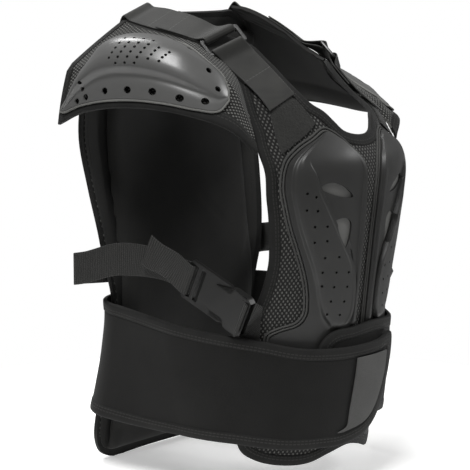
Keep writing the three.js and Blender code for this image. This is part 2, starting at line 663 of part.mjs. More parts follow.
// Flap: middle and lower lines, out from the middle, back from the shoulder line and up
const flapLines = [
  { middle: 0.86, middleBack: 0.965, middleUp: -0.072, low: 0.93, lowBack: 0.985, lowUp: -0.2 },
  { middle: 0.86, middleBack: 0.56, middleUp: -0.056, low: 0.98, lowBack: 0.6, lowUp: -0.167 },
  { middle: 0.873, middleBack: 0.08, middleUp: -0.043, low: 1, lowBack: 0.04, lowUp: -0.149 },
  { middle: 0.81, middleBack: -0.41, middleUp: -0.055, low: 0.93, lowBack: -0.48, lowUp: -0.157 },
  { middle: 0.69, middleBack: -0.75, middleUp: -0.095, low: 0.785, lowBack: -0.89, lowUp: -0.192 },
  { middle: 0.63, middleBack: -0.95, middleUp: -0.2, low: 0.645, lowBack: -1.02, lowUp: -0.245 },
];
// Then the flap's inner edge goes down beside the front panel's: beyond it and over it, in flap walls
const flapFront = [
  { down: 0.0824, beyond: 1.3, over: 1.66 },
  { down: 0.1647, beyond: 0, over: 1.35 },
];
const flapInnerEdge = [
  ...yokeOuter.map(([x, y, z]) => [x + 3 * layerGap, y, z]),
  ...flapFront.map(({ down, beyond, over }) => {
    const z = -down * vestDrop;
    const edge = column(frontRows, "edgeDown", "edge", down) * frontHalf;
    const angle = (edge + beyond * flapWall) / frontRadius(z);
    const lift = new THREE.Vector3(Math.sin(angle), -Math.cos(angle), 0).multiplyScalar(over * flapWall);
    return frontShape(angle * frontRadius(z), z).add(lift).toArray();
  }),
];

function makeFlap(side, place) {
  const { name } = side;
  const across = (t) => place(t, 0, 0).distanceTo(place(t, 1, 0));
  const lengthShare = 0.8; // of the chord, because the flap's line is longer
  const backEdge = bindingWidth / place(0, 0.5, 0).distanceTo(place(1, 0.5, 0)) * lengthShare;
  const lowEdge = (t) => 1 - bindingWidth / across(t);
  const seam = seamGap / bindingWidth;
  const spans = 10;
  const bodyAlongs = Array.from({ length: spans + 1 }, (_, step) =>
    lerp(backEdge * (1 + seam), 1, step / spans));
  const rows = bodyAlongs.map((t) => [0, 0.25, 0.5, 0.75, 1].map((v) => [t, v * lowEdge(t) * (1 - seam)]));
  const geometry = gridSheet(rows, ([t, v]) => place(t, v, 0), ([t, v]) => place(t, v, -flapWall));
  addPiece(`shoulder_flap_${name}`, geometry, finishes.mesh);
  const outline = [
    ...[0, 0.25, 0.5, 0.75].map((v) => ({ outer: [0, v], inner: [backEdge, v * lowEdge(backEdge)] })),
    { outer: [0, 1], inner: [backEdge, lowEdge(backEdge)] },
    ...bodyAlongs.slice(1).map((t) => ({ outer: [t, 1], inner: [t, lowEdge(t)] })),
  ];
  const [over, under] = [bindingProud, -flapWall - bindingProud];
  const sections = outline.map(({ outer, inner }) =>
    [place(...outer, over), place(...inner, over), place(...inner, under), place(...outer, under)]);
  addPiece(`flap_binding_${name}`, band(sections, false), finishes.binding);
}

// Shoulder shell: rows along the flap with its upper and lower edges across it, and its crown
const shellRows = [
  { along: 0.03, top: 0.84, low: 0.9, rise: 0 },
  { along: 0.07, top: 0.6, low: 0.925, rise: 0.2 },
  { along: 0.125, top: 0.4, low: 0.93, rise: 0.44 },
  { along: 0.2, top: 0.25, low: 0.93, rise: 0.72 },
  { along: 0.31, top: 0.12, low: 0.93, rise: 0.96 },
  { along: 0.45, top: 0.07, low: 0.93, rise: 0.99 },
  { along: 0.58, top: 0.12, low: 0.93, rise: 0.82 },
  { along: 0.68, top: 0.24, low: 0.92, rise: 0.55 },
  { along: 0.75, top: 0.38, low: 0.9, rise: 0.26 },
  { along: 0.79, top: 0.55, low: 0.8, rise: 0 },
];
const shellSteps = [
  { across: 0, crown: 0 },
  { across: 0.06, crown: 0.12 },
  { across: 0.22, crown: 0.66 },
  { across: 0.42, crown: 1 },
  { across: 0.57, crown: 0.94 },
  { across: 0.65, crown: 0.82 },
  { across: 0.82, crown: 0.56 },
  { across: 0.94, crown: 0.14 },
  { across: 1, crown: 0 },
];
const shellPlace = (row, across) => [row.along, lerp(row.top, row.low, across)];

// Small holes on the crown: lines across the shell, every other one a little further on
const crownHoles = {
  radius: 1.3, lines: 6, steps: 4, along: 0.325, pitch: 0.062, shift: 0.025, across: 0.22, lineStep: 0.09,
};
// Wide holes round the rim
const rimHoles = [
  { along: 0.2, across: 0.86 }, { along: 0.255, across: 0.86 }, { along: 0.335, across: 0.86 },
  { along: 0.42, across: 0.86 }, { along: 0.51, across: 0.86 }, { along: 0.6, across: 0.86 },
  { along: 0.67, across: 0.86 }, { along: 0.58, across: 0.2 }, { along: 0.64, across: 0.27 },
  { along: 0.67, across: 0.5 },
];
const rimHoleLength = 6.4;
const rimHoleWidth = 4.8;

function crownHolePlaces({ lines, steps, along, pitch, shift, across, lineStep }) {
  const line = (number) => Array.from({ length: steps }, (_, step) =>
    ({ along: along + pitch * step + shift * (number % 2), across: across + lineStep * number }));
  return Array.from({ length: lines }, (_, number) => line(number)).flat();
}

function makeShell({ name }, place) {
  const rows = shellRows.map((row) => shellSteps.map(({ across, crown }) => ({
    spot: shellPlace(row, across),
    lift: bindingProud + 4 * layerGap + shellRise * row.rise * crown,
  })));
  const outer = ({ spot, lift }) => place(...spot, lift + shellWall);
  const inner = ({ spot, lift }) => place(...spot, lift);
  const edge = (at, key) => column(shellRows, "along", key, at);
  const [back, middle, front] = [0, 0.5, 1].map((along) => place(along, 0.5, 0));
  const length = back.distanceTo(middle) + middle.distanceTo(front);
  const width = place(0.5, 0, 0).distanceTo(place(0.5, 1, 0));
  const cutter = ({ along, across }, halfLength, halfWidth, corners) => {
    const v = lerp(edge(along, "top"), edge(along, "low"), across);
    const loop = roundLoop(along, v, halfLength / length, halfWidth / width, corners);
    return prism(loop, place, -layerGap, shellRise * cutterReach);
  };
  const { radius } = crownHoles;
  const small = crownHolePlaces(crownHoles).map((hole) => cutter(hole, radius, radius, 4));
  const wide = rimHoles.map((hole) => cutter(hole, rimHoleLength / 2, rimHoleWidth / 2, 4));
  const pierced = cutThrough(gridSheet(rows, outer, inner), [...small, ...wide]);
  addPiece(`shoulder_shell_${name}`, pierced, finishes.shell);
}

// Loop patch on the upper chest, under the end of the shoulder strap
const patchLines = [
  { lowOut: 0.77, lowDown: 0.249, topOut: 0.735, topDown: 0.118 },
  { lowOut: 0.64, lowDown: 0.228, topOut: 0.66, topDown: 0.111 },
  { lowOut: 0.5, lowDown: 0.204, topOut: 0.585, topDown: 0.104 },
  { lowOut: 0.42, lowDown: 0.186, topOut: 0.515, topDown: 0.13 },
];

function makePatch({ name, sign }) {
  const rows = patchLines.map((line) => [0, 0.25, 0.5, 0.75, 1].map((t) => [
    sign * lerp(line.lowOut, line.topOut, t) * frontHalf,
    -lerp(line.lowDown, line.topDown, t) * vestDrop,
  ]));
  const place = (lift) => ([u, z]) => frontPlace(u, z, lift);
  const pile = gridSheet(rows, place(platesGap + patchWall), place(platesGap));
  addPiece(`loop_patch_${name}`, pile, finishes.patch);
}

// A plate with holes, drawn flat, then set in a frame of three directions round a middle
function framedPlate(outline, holes, wall, frame) {
  const shape = new THREE.Shape(outline.map(([x, y]) => new THREE.Vector2(x, y)));
  shape.holes = holes.map((hole) => new THREE.Path(hole.map(([x, y]) => new THREE.Vector2(x, y))));
  const flat = new THREE.ExtrudeGeometry(shape, { depth: wall, bevelEnabled: false });
  flat.translate(0, 0, -wall / 2);
  flat.deleteAttribute("normal");
  flat.deleteAttribute("uv");
  const merged = mergeVertices(flat);
  const matrix = new THREE.Matrix4().makeBasis(frame.across, frame.along, frame.out).setPosition(frame.middle);
  const spots = merged.getAttribute("position");
  const points = Array.from({ length: spots.count }, (_, index) =>
    new THREE.Vector3().fromBufferAttribute(spots, index).applyMatrix4(matrix));
  const corners = Array.from(merged.getIndex().array);
  const faces = Array.from({ length: corners.length / 3 }, (_, face) => corners.slice(3 * face, 3 * face + 3));
  return solid(points, faces);
}

const cornered = (left, low, right, high, chamfer) => [
  [left + chamfer, low], [right - chamfer, low], [right, low + chamfer], [right, high - chamfer],
  [right - chamfer, high], [left + chamfer, high], [left, high - chamfer], [left, low + chamfer],
];

// Webbing round a bar: stations on a half turn, from under the bar to over it
function barTurn(frame, barMiddle, radius, forwards) {
  const steps = 4;
  const middle = frame.middle.clone().addScaledVector(frame.along, barMiddle);
  return Array.from({ length: steps + 1 }, (_, step) => {
    const angle = Math.PI * step / steps;
    const spot = middle.clone()
      .addScaledVector(frame.out, -radius * Math.cos(angle))
      .addScaledVector(frame.along, forwards * radius * Math.sin(angle));
    return webStation(spot, frame.across);
  });
}

function webStation(middle, across) {
  const half = across.clone().setLength(strapWidth / 2);
  return { left: middle.clone().sub(half), right: middle.clone().add(half) };
}

// Shoulder straps: the front one comes up through the ring and folds back down over the chest,
// the back one goes over the yoke, through the ring and back over itself
function frontStrapStation(sign, t, lift) {
  const at = (key) => lerp(strapTop[key], strapEnd[key], t);
  const left = frontPlace(sign * at("inner") * frontHalf, -at("innerDown") * vestDrop, lift);
  const right = frontPlace(sign * at("outer") * frontHalf, -at("outerDown") * vestDrop, lift);
  return webStation(left.clone().lerp(right, 0.5), right.sub(left));
}

function ringFrame(sign, yokePlace) {
  const { left, right } = frontStrapStation(sign, 0, 0);
  const across = right.clone().sub(left).normalize();
  const front = left.clone().lerp(right, 0.5);
  const back = yokePlace(1, 0.5, 0);
  const along = back.clone().sub(front);
  along.addScaledVector(across, -along.dot(across)).normalize();
  const out = across.clone().cross(along).multiplyScalar(-sign);
  out.multiplyScalar(Math.sign(out.z));
  return { middle: front.lerp(back, 0.5).addScaledVector(out, ringStand), across, along, out };
}

function makeRing({ name }, frame) {
  const [half, reach] = [ringWidth / 2, ringLength / 2];
  const outline = cornered(-half, -reach, half, reach, ringBar * 0.67);
  const window = cornered(ringBar - half, ringBar - reach, half - ringBar, reach - ringBar, ringBar * 0.22);
  addPiece(`strap_ring_${name}`, framedPlate(outline, [window], ringWall, frame), finishes.ring);
}

function makeShoulderStraps({ name, sign }, yokePlace, frame) {
  const bar = (ringLength - ringBar) / 2;
  const turn = Math.hypot(ringBar, ringWall) / 2 + 2 * (strapWall + layerGap);
  const under = bindingProud + layerGap + strapWall;
  const over = under + layerGap + strapWall;
  const front = [
    ...[0.5, 0.3, 0.12].map((t) => frontStrapStation(sign, t, under)),
    ...barTurn(frame, -bar, turn, 1),
    ...[0.12, 0.25, 0.4, 0.55, 0.7, 0.85, 1].map((t) => frontStrapStation(sign, t, over)),
  ];
  addPiece(`shoulder_strap_front_${name}`, ribbon(front, strapWall), finishes.strap);

  const yokeStation = (t, lift) => {
    const across = yokePlace(t, 1, lift).sub(yokePlace(t, 0, lift));
    return webStation(yokePlace(t, 0.5, lift), across);
  };
  const backStation = (up, lift) => {
    const left = backPlace(-sign * strapOnBack.inner * backHalf, up * vestDrop, lift);
    const right = backPlace(-sign * strapOnBack.outer * backHalf, (up - strapOnBack.fall) * vestDrop, lift);
    return webStation(left.clone().lerp(right, 0.5), right.sub(left));
  };
  const back = [
    backStation(-0.056, under),
    backStation(-0.006, under),
    backStation(0.03, under + strapWall),
    yokeStation(0, under + 2 * strapWall),
    ...[0.1, 0.2, 0.3, 0.45, 0.6, 0.75, 0.88].map((t) => yokeStation(t, under)),
    ...barTurn(frame, bar, turn, -1),
    ...[0.88, 0.75, 0.6, 0.48].map((t) => yokeStation(t, under + layerGap + strapWall)),
  ];
  addPiece(`shoulder_strap_back_${name}`, ribbon(back, strapWall), finishes.strap);
}

// Belt: its path from the middle of the back round a side to the front, then past the middle
const backEdgeHalf = (z) => backHalf * column(backRows, "edgeDown", "edge", -z / vestDrop);
const beltStand = plateFoot + 3 * layerGap + strapWall; // belt over the front panel
const cornerInset = 22; // corner's middle inside the back's edge

function beltForm(sign) {
  return (along, z) => {
    const cornerX = backEdgeHalf(z) - cornerInset;
    const cornerY = backDepth(z) + bindingProud + 2 * layerGap - beltCorner;
    const frontY = frontRadius(z) - frontForward(z);
    const radius = frontRadius(z) + beltStand;
    const turnLength = Math.PI / 2 * beltCorner;
    const sideLength = cornerY - frontY;
    if (along <= cornerX) return new THREE.Vector3(sign * along, cornerY + beltCorner, z);
    if (along <= cornerX + turnLength) {
      const angle = (along - cornerX) / beltCorner;
      const [x, y] = [cornerX + beltCorner * Math.sin(angle), cornerY + beltCorner * Math.cos(angle)];
      return new THREE.Vector3(sign * x, y, z);
    }
    const sideAlong = (along - cornerX - turnLength) / sideLength;
    if (sideAlong <= 1) {
      const x = lerp(cornerX + beltCorner, radius, sideAlong);
      return new THREE.Vector3(sign * x, cornerY - sideLength * sideAlong, z);
    }
    const angle = Math.PI / 2 - (along - cornerX - turnLength - sideLength) / radius;
    return new THREE.Vector3(sign * radius * Math.sin(angle), frontY - radius * Math.cos(angle), z);
  };
}

const beltMiddleZ = -0.75 * vestDrop;
const beltHalfLoop = (() => {
  const cornerY = backDepth(beltMiddleZ) + bindingProud + 2 * layerGap - beltCorner;
  const frontY = frontRadius(beltMiddleZ) - frontForward(beltMiddleZ);
  const radius = frontRadius(beltMiddleZ) + beltStand;
  const turns = Math.PI / 2 * (beltCorner + radius);
  return backEdgeHalf(beltMiddleZ) - cornerInset + turns + cornerY - frontY;
})();

// Level of the belt's top edge and its height, by the share of the way from the back to the front
const beltLevels = [
  { share: 0, top: 0.6, height: 1.05 },
  { share: 0.28, top: 0.607, height: 1.1 },
  { share: 0.45, top: 0.622, height: 1.1 },
  { share: 0.71, top: 0.655, height: 1.01 },
  { share: 0.84, top: 0.678, height: 0.95 },
  { share: 1, top: 0.682, height: 0.93 },
  { share: 1.15, top: 0.67, height: 0.94 },
];
// Shape of each wing's end, from its top corner down
const wingEnds = {
  right: [
    { down: 0, share: 1.1 }, { down: 0.43, share: 1.09 }, { down: 0.75, share: 1.065 },
    { down: 0.92, share: 1.025 }, { down: 1, share: 0.95 },
  ],
  left: [
    { down: 0, share: 1.09 }, { down: 0.1, share: 1.12 }, { down: 0.5, share: 1.13 },
    { down: 0.9, share: 1.12 }, { down: 1, share: 1.09 },
  ],
};
const wingStations = [0, 0.11, 0.2, 0.235, 0.27, 0.305, 0.34, 0.44, 0.53, 0.6, 0.67, 0.74, 0.81, 0.88, 0.94, 1];
// How much higher the left wing lies where it passes under the right one
const underlap = [
  { share: 0.7, rise: 0 },
  { share: 0.93, rise: 0.045 },
  { share: 1.06, rise: 0.034 },
  { share: 1.13, rise: 0.014 },
];

const overlapStart = 0.7; // where the right wing starts to rise over the left one, and where it lies over it
const overlapFull = 0.84;
const tabStart = 0.955;

function makeBelt({ name, sign }) {
  const overlap = name === "right";
  const end = wingEnds[name];
  const plain = surface(beltForm(sign));
  const liftAt = (along) => {
    if (!overlap) return 0;
    const fullLift = beltWall + 2 * bindingProud + 3 * layerGap;
    return fullLift * smoothstep(along / beltHalfLoop, overlapStart, overlapFull);
  };
  const place = (along, z, lift) => plain(along, z, -sign * (bindingProud + liftAt(along) + lift));
  const spotAt = (station, down) => {
    const share = column(end, "down", "share", down) * station;
    const rise = overlap ? 0 : column(underlap, "share", "rise", share);
    const top = -(column(beltLevels, "share", "top", share) - rise) * vestDrop;
    const height = column(beltLevels, "share", "height", share) * beltHeight;
    return [Math.max(share * beltHalfLoop, seamGap), top - height * down];
  };
  const downs = end.map(({ down }) => down);
  const topEdge = wingStations.map((station) => spotAt(station, 0));
  const endEdge = downs.slice(1, -1).map((down) => spotAt(1, down));
  const lowEdge = wingStations.map((station) => spotAt(station, 1)).toReversed();
  const before = -bindingWidth * 3;
  const run = [...topEdge, ...endEdge, ...lowEdge];
  const loop = [...run, [before, lowEdge.at(-1)[1]], [before, topEdge[0][1]]];
  const outward = (along, z, lift) => place(along, z, lift + beltWall);
  addPiece(`belt_binding_${name}`, bindingAround(loop, outward, beltWall, run.length), finishes.binding);
  const edges = inset(loop, bindingWidth + seamGap);
  const last = wingStations.length - 1;
  const rows = wingStations.map((_, index) => {
    const [top, low] = [edges[index], edges[run.length - 1 - index]];
    if (index === last) return edges.slice(last, last + downs.length);
    const station = wingStations[index];
    return downs.map((down, step) => {
      if (step === 0) return top;
      if (step === downs.length - 1) return low;
      const along = column(end, "down", "share", down) * station * edges[last + step][0] / spotAt(1, down)[0];
      return [along * beltHalfLoop, lerp(top[1], low[1], down)];
    });
  });
  rows[0] = rows[0].map(([, z]) => [seamGap, z]);
  const body = gridSheet(rows, ([p, z]) => outward(p, z, 0), ([p, z]) => place(p, z, 0));
  addPiece(`belt_wing_${name}`, body, finishes.belt);
  if (!overlap) return;
  const tabEdges = inset(loop, bindingWidth + 2 * patchWall);
  const tabRows = [0, 0.33, 0.67, 1].map((t) => downs.map((_, step) => {
    const [endAlong, endZ] = tabEdges[last + step];
    const startZ = lerp(tabEdges[last][1], tabEdges[last + downs.length - 1][1], downs[step]);
    const start = Math.min(tabStart * beltHalfLoop, endAlong - bindingWidth / 2);
    return [lerp(start, endAlong, t), lerp(startZ, endZ, t)];
  }));
  const tabFace = ([p, z]) => outward(p, z, platesGap + patchWall);
  const tab = gridSheet(tabRows, tabFace, ([p, z]) => outward(p, z, platesGap));
  addPiece("hook_tab", tab, finishes.tab);
}

// Side straps: from the back's outside round the arm opening to the buckle, whose tail folds back
const strapRoute = [
  { out: 0.6, back: 0.885, down: 0.539, lean: 0 },
  { out: 0.79, back: 0.865, down: 0.537, lean: 0 },
  { out: 0.985, back: 0.945, down: 0.535, lean: 0 },
  { out: 1.085, back: 0.925, down: 0.533, lean: 0 },
  { out: 1.07, back: 0.8, down: 0.527, lean: 0 },
  { out: 1.02, back: 0.48, down: 0.503, lean: 0 },
  { out: 0.98, back: 0.28, down: 0.5, lean: 5 },
  { out: 0.96, back: 0.08, down: 0.503, lean: 25 },
  { out: 0.94, back: -0.15, down: 0.513, lean: 42 },
];
const tailRoute = [
  { out: 0.98, back: -0.16, down: 0.5, lean: 44 },
  { out: 1.005, back: 0, down: 0.484, lean: 34 },
  { out: 1.02, back: 0.08, down: 0.47, lean: 25 },
];
// Buckle anchor: sewn on the front panel, rising from it, in strap walls, to the buckle
const anchorRoute = [
  { out: 0.93, down: 0.73, rise: 0 },
  { out: 0.93, down: 0.7, rise: 0 },
  { out: 0.93, down: 0.66, rise: 0 },
  { out: 0.93, down: 0.625, rise: 0 },
  { out: 0.93, down: 0.61, rise: 2 },
];
const anchorLean = { out: 0.08, down: 0.03 }; // from the strap's outer edge towards its inner one
const buckleEnd = { out: 0.88, back: -0.965, down: 0.604 }; // end of the anchored half
const buckleAim = { out: -0.08, back: -0.9, down: 0.436 }; // from the strap towards that end
const buckleLean = 58;
const leftDrawn = 15; // how much further back the left buckle lies, and where that starts
const leftDrawnFrom = 0.5;

function routeSpot(sign, { out, back, down }) {
  const drawn = sign > 0 ? leftDrawn * smoothstep(leftDrawnFrom - back, 0, leftDrawnFrom) : 0;
  return new THREE.Vector3(sign * out * backHalf, back * backReach + drawn, -down * vestDrop);
}
const leanAcross = (lean) => new THREE.Vector3(0, -Math.sin(degToRad(lean)), Math.cos(degToRad(lean)));

function buckleFrame(sign) {
  const along = new THREE.Vector3(sign * buckleAim.out, buckleAim.back, -buckleAim.down).normalize();
  const middle = routeSpot(sign, buckleEnd).addScaledVector(along, -(maleLength + buckleFit + femaleLength));
  const across = leanAcross(buckleLean);
  across.addScaledVector(along, -across.dot(along)).normalize();
  const out = across.clone().cross(along);
  out.multiplyScalar(Math.sign(out.x) * sign);
  return { middle, along, across, out };
}

function makeBuckle({ name, sign }) {
  const frame = buckleFrame(sign);
  const half = buckleWidth / 2;
  const prongEnd = maleLength + prongReach;
  const taper = prongWidth / 8; // least step of the prongs' and the housing's rounded ends
  const slotHalf = strapWidth / 2 + slotPlay;
  const maleWall = buckleWall * 0.55;
  const slotAt = (low) => cornered(-slotHalf, low, slotHalf, low + buckleSlot, taper);
  const mirrorAcross = (side) => [...side, ...side.map(([x, y]) => [-x, y]).toReversed()];
  const male = mirrorAcross([
    [half - 2 * taper, -buckleBar / 2], [half, 0], [half, maleLength], [half - taper, prongEnd - 3 * taper],
    [half - 4 * taper, prongEnd], [half - prongWidth, prongEnd - 4 * taper], [half - prongWidth, maleLength],
  ]);
  const maleSlots = [slotAt(buckleBar / 2), slotAt(buckleBar * 1.5 + buckleSlot)];
  addPiece(`buckle_male_${name}`, framedPlate(male, maleSlots, maleWall, frame), finishes.buckle);
  const [start, end] = [maleLength + buckleFit, maleLength + buckleFit + femaleLength];
  const shoulder = prongEnd + buckleFit;
  const core = half - prongWidth - buckleFit;
  const female = mirrorAcross([
    [core, start], [core, shoulder], [half - taper, shoulder + 2 * taper], [half, shoulder + 5 * taper],
    [half, end - 5 * taper], [half - 4 * taper, end],
  ]);
  const anchorBar = end - buckleBar / 2;
  const femaleSlots = [slotAt(end - buckleBar - buckleSlot)];
  addPiece(`buckle_female_${name}`, framedPlate(female, femaleSlots, buckleWall, frame), finishes.buckle);

  const station = (row) => webStation(routeSpot(sign, row), leanAcross(row.lean));
  const maleTurn = Math.hypot(buckleBar, maleWall) / 2 + layerGap + strapWall / 2;
  const strap = [
    ...strapRoute.map(station),
    ...barTurn(frame, 0, maleTurn, 1),
    ...tailRoute.map(station),
  ];
  addPiece(`side_strap_${name}`, ribbon(strap, strapWall), finishes.webbing);

  const femaleTurn = Math.hypot(buckleBar, buckleWall) / 2 + layerGap + strapWall / 2;
  const sewn = ({ out, down, rise }) => {
    const lift = bindingProud + layerGap + strapWall * (0.5 + rise);
    const middle = frontPlace(sign * out * frontHalf, -down * vestDrop, lift);
    const [inner, above] = [out - anchorLean.out, down - anchorLean.down];
    const beside = frontPlace(sign * inner * frontHalf, -above * vestDrop, lift);
    return webStation(middle, beside.sub(middle));
  };
  const anchor = [...anchorRoute.map(sewn), ...barTurn(frame, anchorBar, femaleTurn, -1)];
  addPiece(`buckle_anchor_${name}`, ribbon(anchor, strapWall), finishes.webbing);
}

for (const side of sides) {
  makeChestPlate(side);
  makePatch(side);
  const yokePlace = makeYoke(side);
  const frame = ringFrame(side.sign, yokePlace);
  makeRing(side, frame);
  makeShoulderStraps(side, yokePlace, frame);
  makeBelt(side);
  makeBuckle(side);
  const flapLine = (key) => flapLines.map((row) =>
    [row[key] * flapReach, row[`${key}Back`] * backReach, row[`${key}Up`] * vestDrop]);
  const flapPlace = loft([flapInnerEdge, flapLine("middle"), flapLine("low")], side.sign);
  makeFlap(side, flapPlace);
  makeShell(side, flapPlace);
}
makeFront();
makeBack();
makeBackPad();

export default vest;
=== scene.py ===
# Motorcycle armour vest in its worn form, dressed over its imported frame.
# Lengths in the tables and settings are in millimetres, and meshes are made in metres.
import math

import bpy
import numpy as np
from mathutils import Matrix, Vector, kdtree


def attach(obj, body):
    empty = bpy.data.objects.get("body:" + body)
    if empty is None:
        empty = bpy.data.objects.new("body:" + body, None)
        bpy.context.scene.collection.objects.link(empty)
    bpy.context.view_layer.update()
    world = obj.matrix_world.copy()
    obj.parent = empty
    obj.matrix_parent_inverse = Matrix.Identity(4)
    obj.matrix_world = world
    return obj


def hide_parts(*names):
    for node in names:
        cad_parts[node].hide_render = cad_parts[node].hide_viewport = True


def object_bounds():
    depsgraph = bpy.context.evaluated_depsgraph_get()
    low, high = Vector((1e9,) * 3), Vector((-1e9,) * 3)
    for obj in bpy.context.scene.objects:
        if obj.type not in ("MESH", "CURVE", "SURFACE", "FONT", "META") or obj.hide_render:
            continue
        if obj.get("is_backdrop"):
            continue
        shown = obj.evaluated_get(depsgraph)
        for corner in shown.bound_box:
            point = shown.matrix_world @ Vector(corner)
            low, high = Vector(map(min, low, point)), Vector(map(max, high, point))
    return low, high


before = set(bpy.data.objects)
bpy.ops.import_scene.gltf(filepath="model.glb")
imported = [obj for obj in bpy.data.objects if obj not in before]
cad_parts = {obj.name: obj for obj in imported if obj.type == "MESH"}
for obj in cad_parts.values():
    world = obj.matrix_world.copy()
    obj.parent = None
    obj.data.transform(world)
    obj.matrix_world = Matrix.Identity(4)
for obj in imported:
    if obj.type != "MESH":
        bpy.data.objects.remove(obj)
cadBox = [list(corner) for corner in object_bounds()]
bpy.ops.object.select_all(action="DESELECT")
print("frame loaded,", len(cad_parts), "nodes")

# camera

cameraSettings = {"aim": (-0.0077, 0.0092, -0.24), "side": 50, "height": 8, "distance": 2.2, "lens": 140.4}


def makeCamera(s):
    side, height = math.radians(s["side"]), math.radians(s["height"])
    back = Vector((-math.sin(side) * math.cos(height), -math.cos(side) * math.cos(height), math.sin(height)))
    bpy.ops.object.camera_add(location=Vector(s["aim"]) + back * s["distance"])
    camera = bpy.context.object
    camera.rotation_euler = back.to_track_quat("Z", "Y").to_euler()
    camera.data.lens = s["lens"]
    camera.data.sensor_width = 36
    camera.data.clip_end = 30
    bpy.context.scene.camera = camera


makeCamera(cameraSettings)

# sizes that several pieces share
vest = {
    "drop": 510, "chestRadius": 165, "chestReach": 187, "frontHalf": 150, "backReach": 125,
    "backHalf": 160.05, "backBend": 20, "flapReach": 204, "shoulderHalf": 114, "leftSag": 24,
    "flapRoundness": 0.2, "leftHang": 0.55, "panelWall": 4, "padWall": 12, "flapWall": 3.2,
    "bindingWidth": 13, "bindingProud": 1, "strapWidth": 38, "strapWall": 1.8, "beltHeight": 121,
    "beltWall": 3.6, "beltCorner": 40, "platesGap": 1.25, "layerGap": 0.6, "cornerInset": 22,
    "plateFoot": 3, "plateRise": 7, "shellWall": 2.4, "shellRise": 24,
}
drop = vest["drop"]
sides = [("right", -1), ("left", 1)]


# smooth curves and surfaces

def column(table, along, value, at):
    xs, ys = np.array(table[along], float), np.array(table[value], float)
    at = np.clip(np.asarray(at, float), xs[0], xs[-1])
    after = np.clip(np.searchsorted(xs, at, side="right"), 1, len(xs) - 1)
    before = after - 1
    low = np.maximum(np.arange(len(xs)) - 1, 0)
    high = np.minimum(np.arange(len(xs)) + 1, len(xs) - 1)
    slope = (ys[high] - ys[low]) / (xs[high] - xs[low])
    span = xs[after] - xs[before]
    t = (at - xs[before]) / span
    return ((2 * t**3 - 3 * t**2 + 1) * ys[before] + (t**3 - 2 * t**2 + t) * slope[before] * span
            + (3 * t**2 - 2 * t**3) * ys[after] + (t**3 - t**2) * slope[after] * span)


def smoothstep(x, low, high):
    t = np.clip((np.asarray(x, float) - low) / (high - low), 0, 1)
    return t * t * (3 - 2 * t)


def curveThrough(points, closed=False):
    # centripetal curve, t from 0 to 1 by point number
    points = np.array(points, float)
    if closed:
        padded = np.vstack([points[-1:], points, points[:2]])
    else:
        padded = np.vstack([2 * points[0] - points[1], points, 2 * points[-1] - points[-2]])
    spans = len(points) if closed else len(points) - 1

    def at(t):
        place = np.clip(np.asarray(t, float), 0, 1) * spans
        index = np.minimum(place.astype(int), spans - 1)
        w = (place - index)[..., None]
        p0, p1, p2, p3 = (padded[index + k] for k in range(4))
        root = lambda a, b: np.maximum(np.sum((a - b) ** 2, -1, keepdims=True) ** 0.25, 1e-4)
        d0, d1, d2 = root(p0, p1), root(p1, p2), root(p2, p3)
        t1 = ((p1 - p0) / d0 - (p2 - p0) / (d0 + d1) + (p2 - p1) / d1) * d1
        t2 = ((p2 - p1) / d1 - (p3 - p1) / (d1 + d2) + (p3 - p2) / d2) * d1
        return p1 + t1 * w + (3 * (p2 - p1) - 2 * t1 - t2) * w**2 + (2 * (p1 - p2) + t1 + t2) * w**3

    return at


def inset(loop, distance):
    # flat outline moved inwards
    loop = np.array(loop, float)
    after, before = np.roll(loop, -1, 0), np.roll(loop, 1, 0)
    turn = np.sign(np.sum(loop[:, 0] * after[:, 1] - after[:, 0] * loop[:, 1]))

    def normal(a, b):
        d = (b - a) / np.linalg.norm(b - a, axis=1, keepdims=True)
        return np.stack([-d[:, 1], d[:, 0]], 1) * turn

    a, b = normal(before, loop), normal(loop, after)
    miter = distance / np.maximum(1 + np.sum(a * b, 1), 0.5)
    return loop + (a + b) * miter[:, None]


def settle(points):
    # the left shoulder hangs lower, and its flap lies flatter
    x, y, z = points[..., 0], points[..., 1], points[..., 2]
    reach, half = vest["backReach"], vest["shoulderHalf"]
    outwards = smoothstep(x, 0, half * 0.6)
    forwards = smoothstep(reach * 0.75 - y, 0, reach * 1.25)
    upwards = smoothstep(z, -drop * 0.255, -drop * 0.06)
    hanging = smoothstep(z, -drop * 0.2, -drop * 0.03)
    fall = vest["leftSag"] * outwards * forwards * upwards + vest["leftHang"] * np.maximum(x - half, 0) * hanging
    return np.stack([x, y, z - fall], -1)


def unit(v):
    return v / np.linalg.norm(v, axis=-1, keepdims=True)


def surface(form):
    def place(p, q, lift):
        p, q, lift = np.broadcast_arrays(*(np.asarray(value, float) for value in (p, q, lift)))
        alongP = form(p + 1, q) - form(p - 1, q)
        alongQ = form(p, q + 1) - form(p, q - 1)
        return settle(form(p, q) + unit(np.cross(alongP, alongQ)) * lift[..., None])

    return place


frontForm = {
    "down": [-0.04, 0, 0.04, 0.08, 0.14, 0.213, 0.276, 0.353, 0.443, 0.535, 0.65, 0.75, 0.85, 0.96],
    "radius": [0.64, 0.71, 0.75, 0.8, 0.92, 0.985, 1, 0.988, 0.97, 0.939, 0.907, 0.885, 0.84, 0.77],
    "reach": [0.38, 0.455, 0.545, 0.655, 0.812, 0.905, 0.984, 0.979, 0.952, 0.925, 0.893, 0.885, 0.86, 0.81],
}


def frontRadius(z):
    return vest["chestRadius"] * column(frontForm, "down", "radius", -z / drop)


def frontForward(z):
    return vest["chestReach"] * column(frontForm, "down", "reach", -z / drop)


def frontShape(u, z):
    radius = frontRadius(z)
    angle = u / radius
    return np.stack([radius * np.sin(angle), radius - frontForward(z) - radius * np.cos(angle), z + 0 * u], -1)


frontPlace = surface(frontShape)

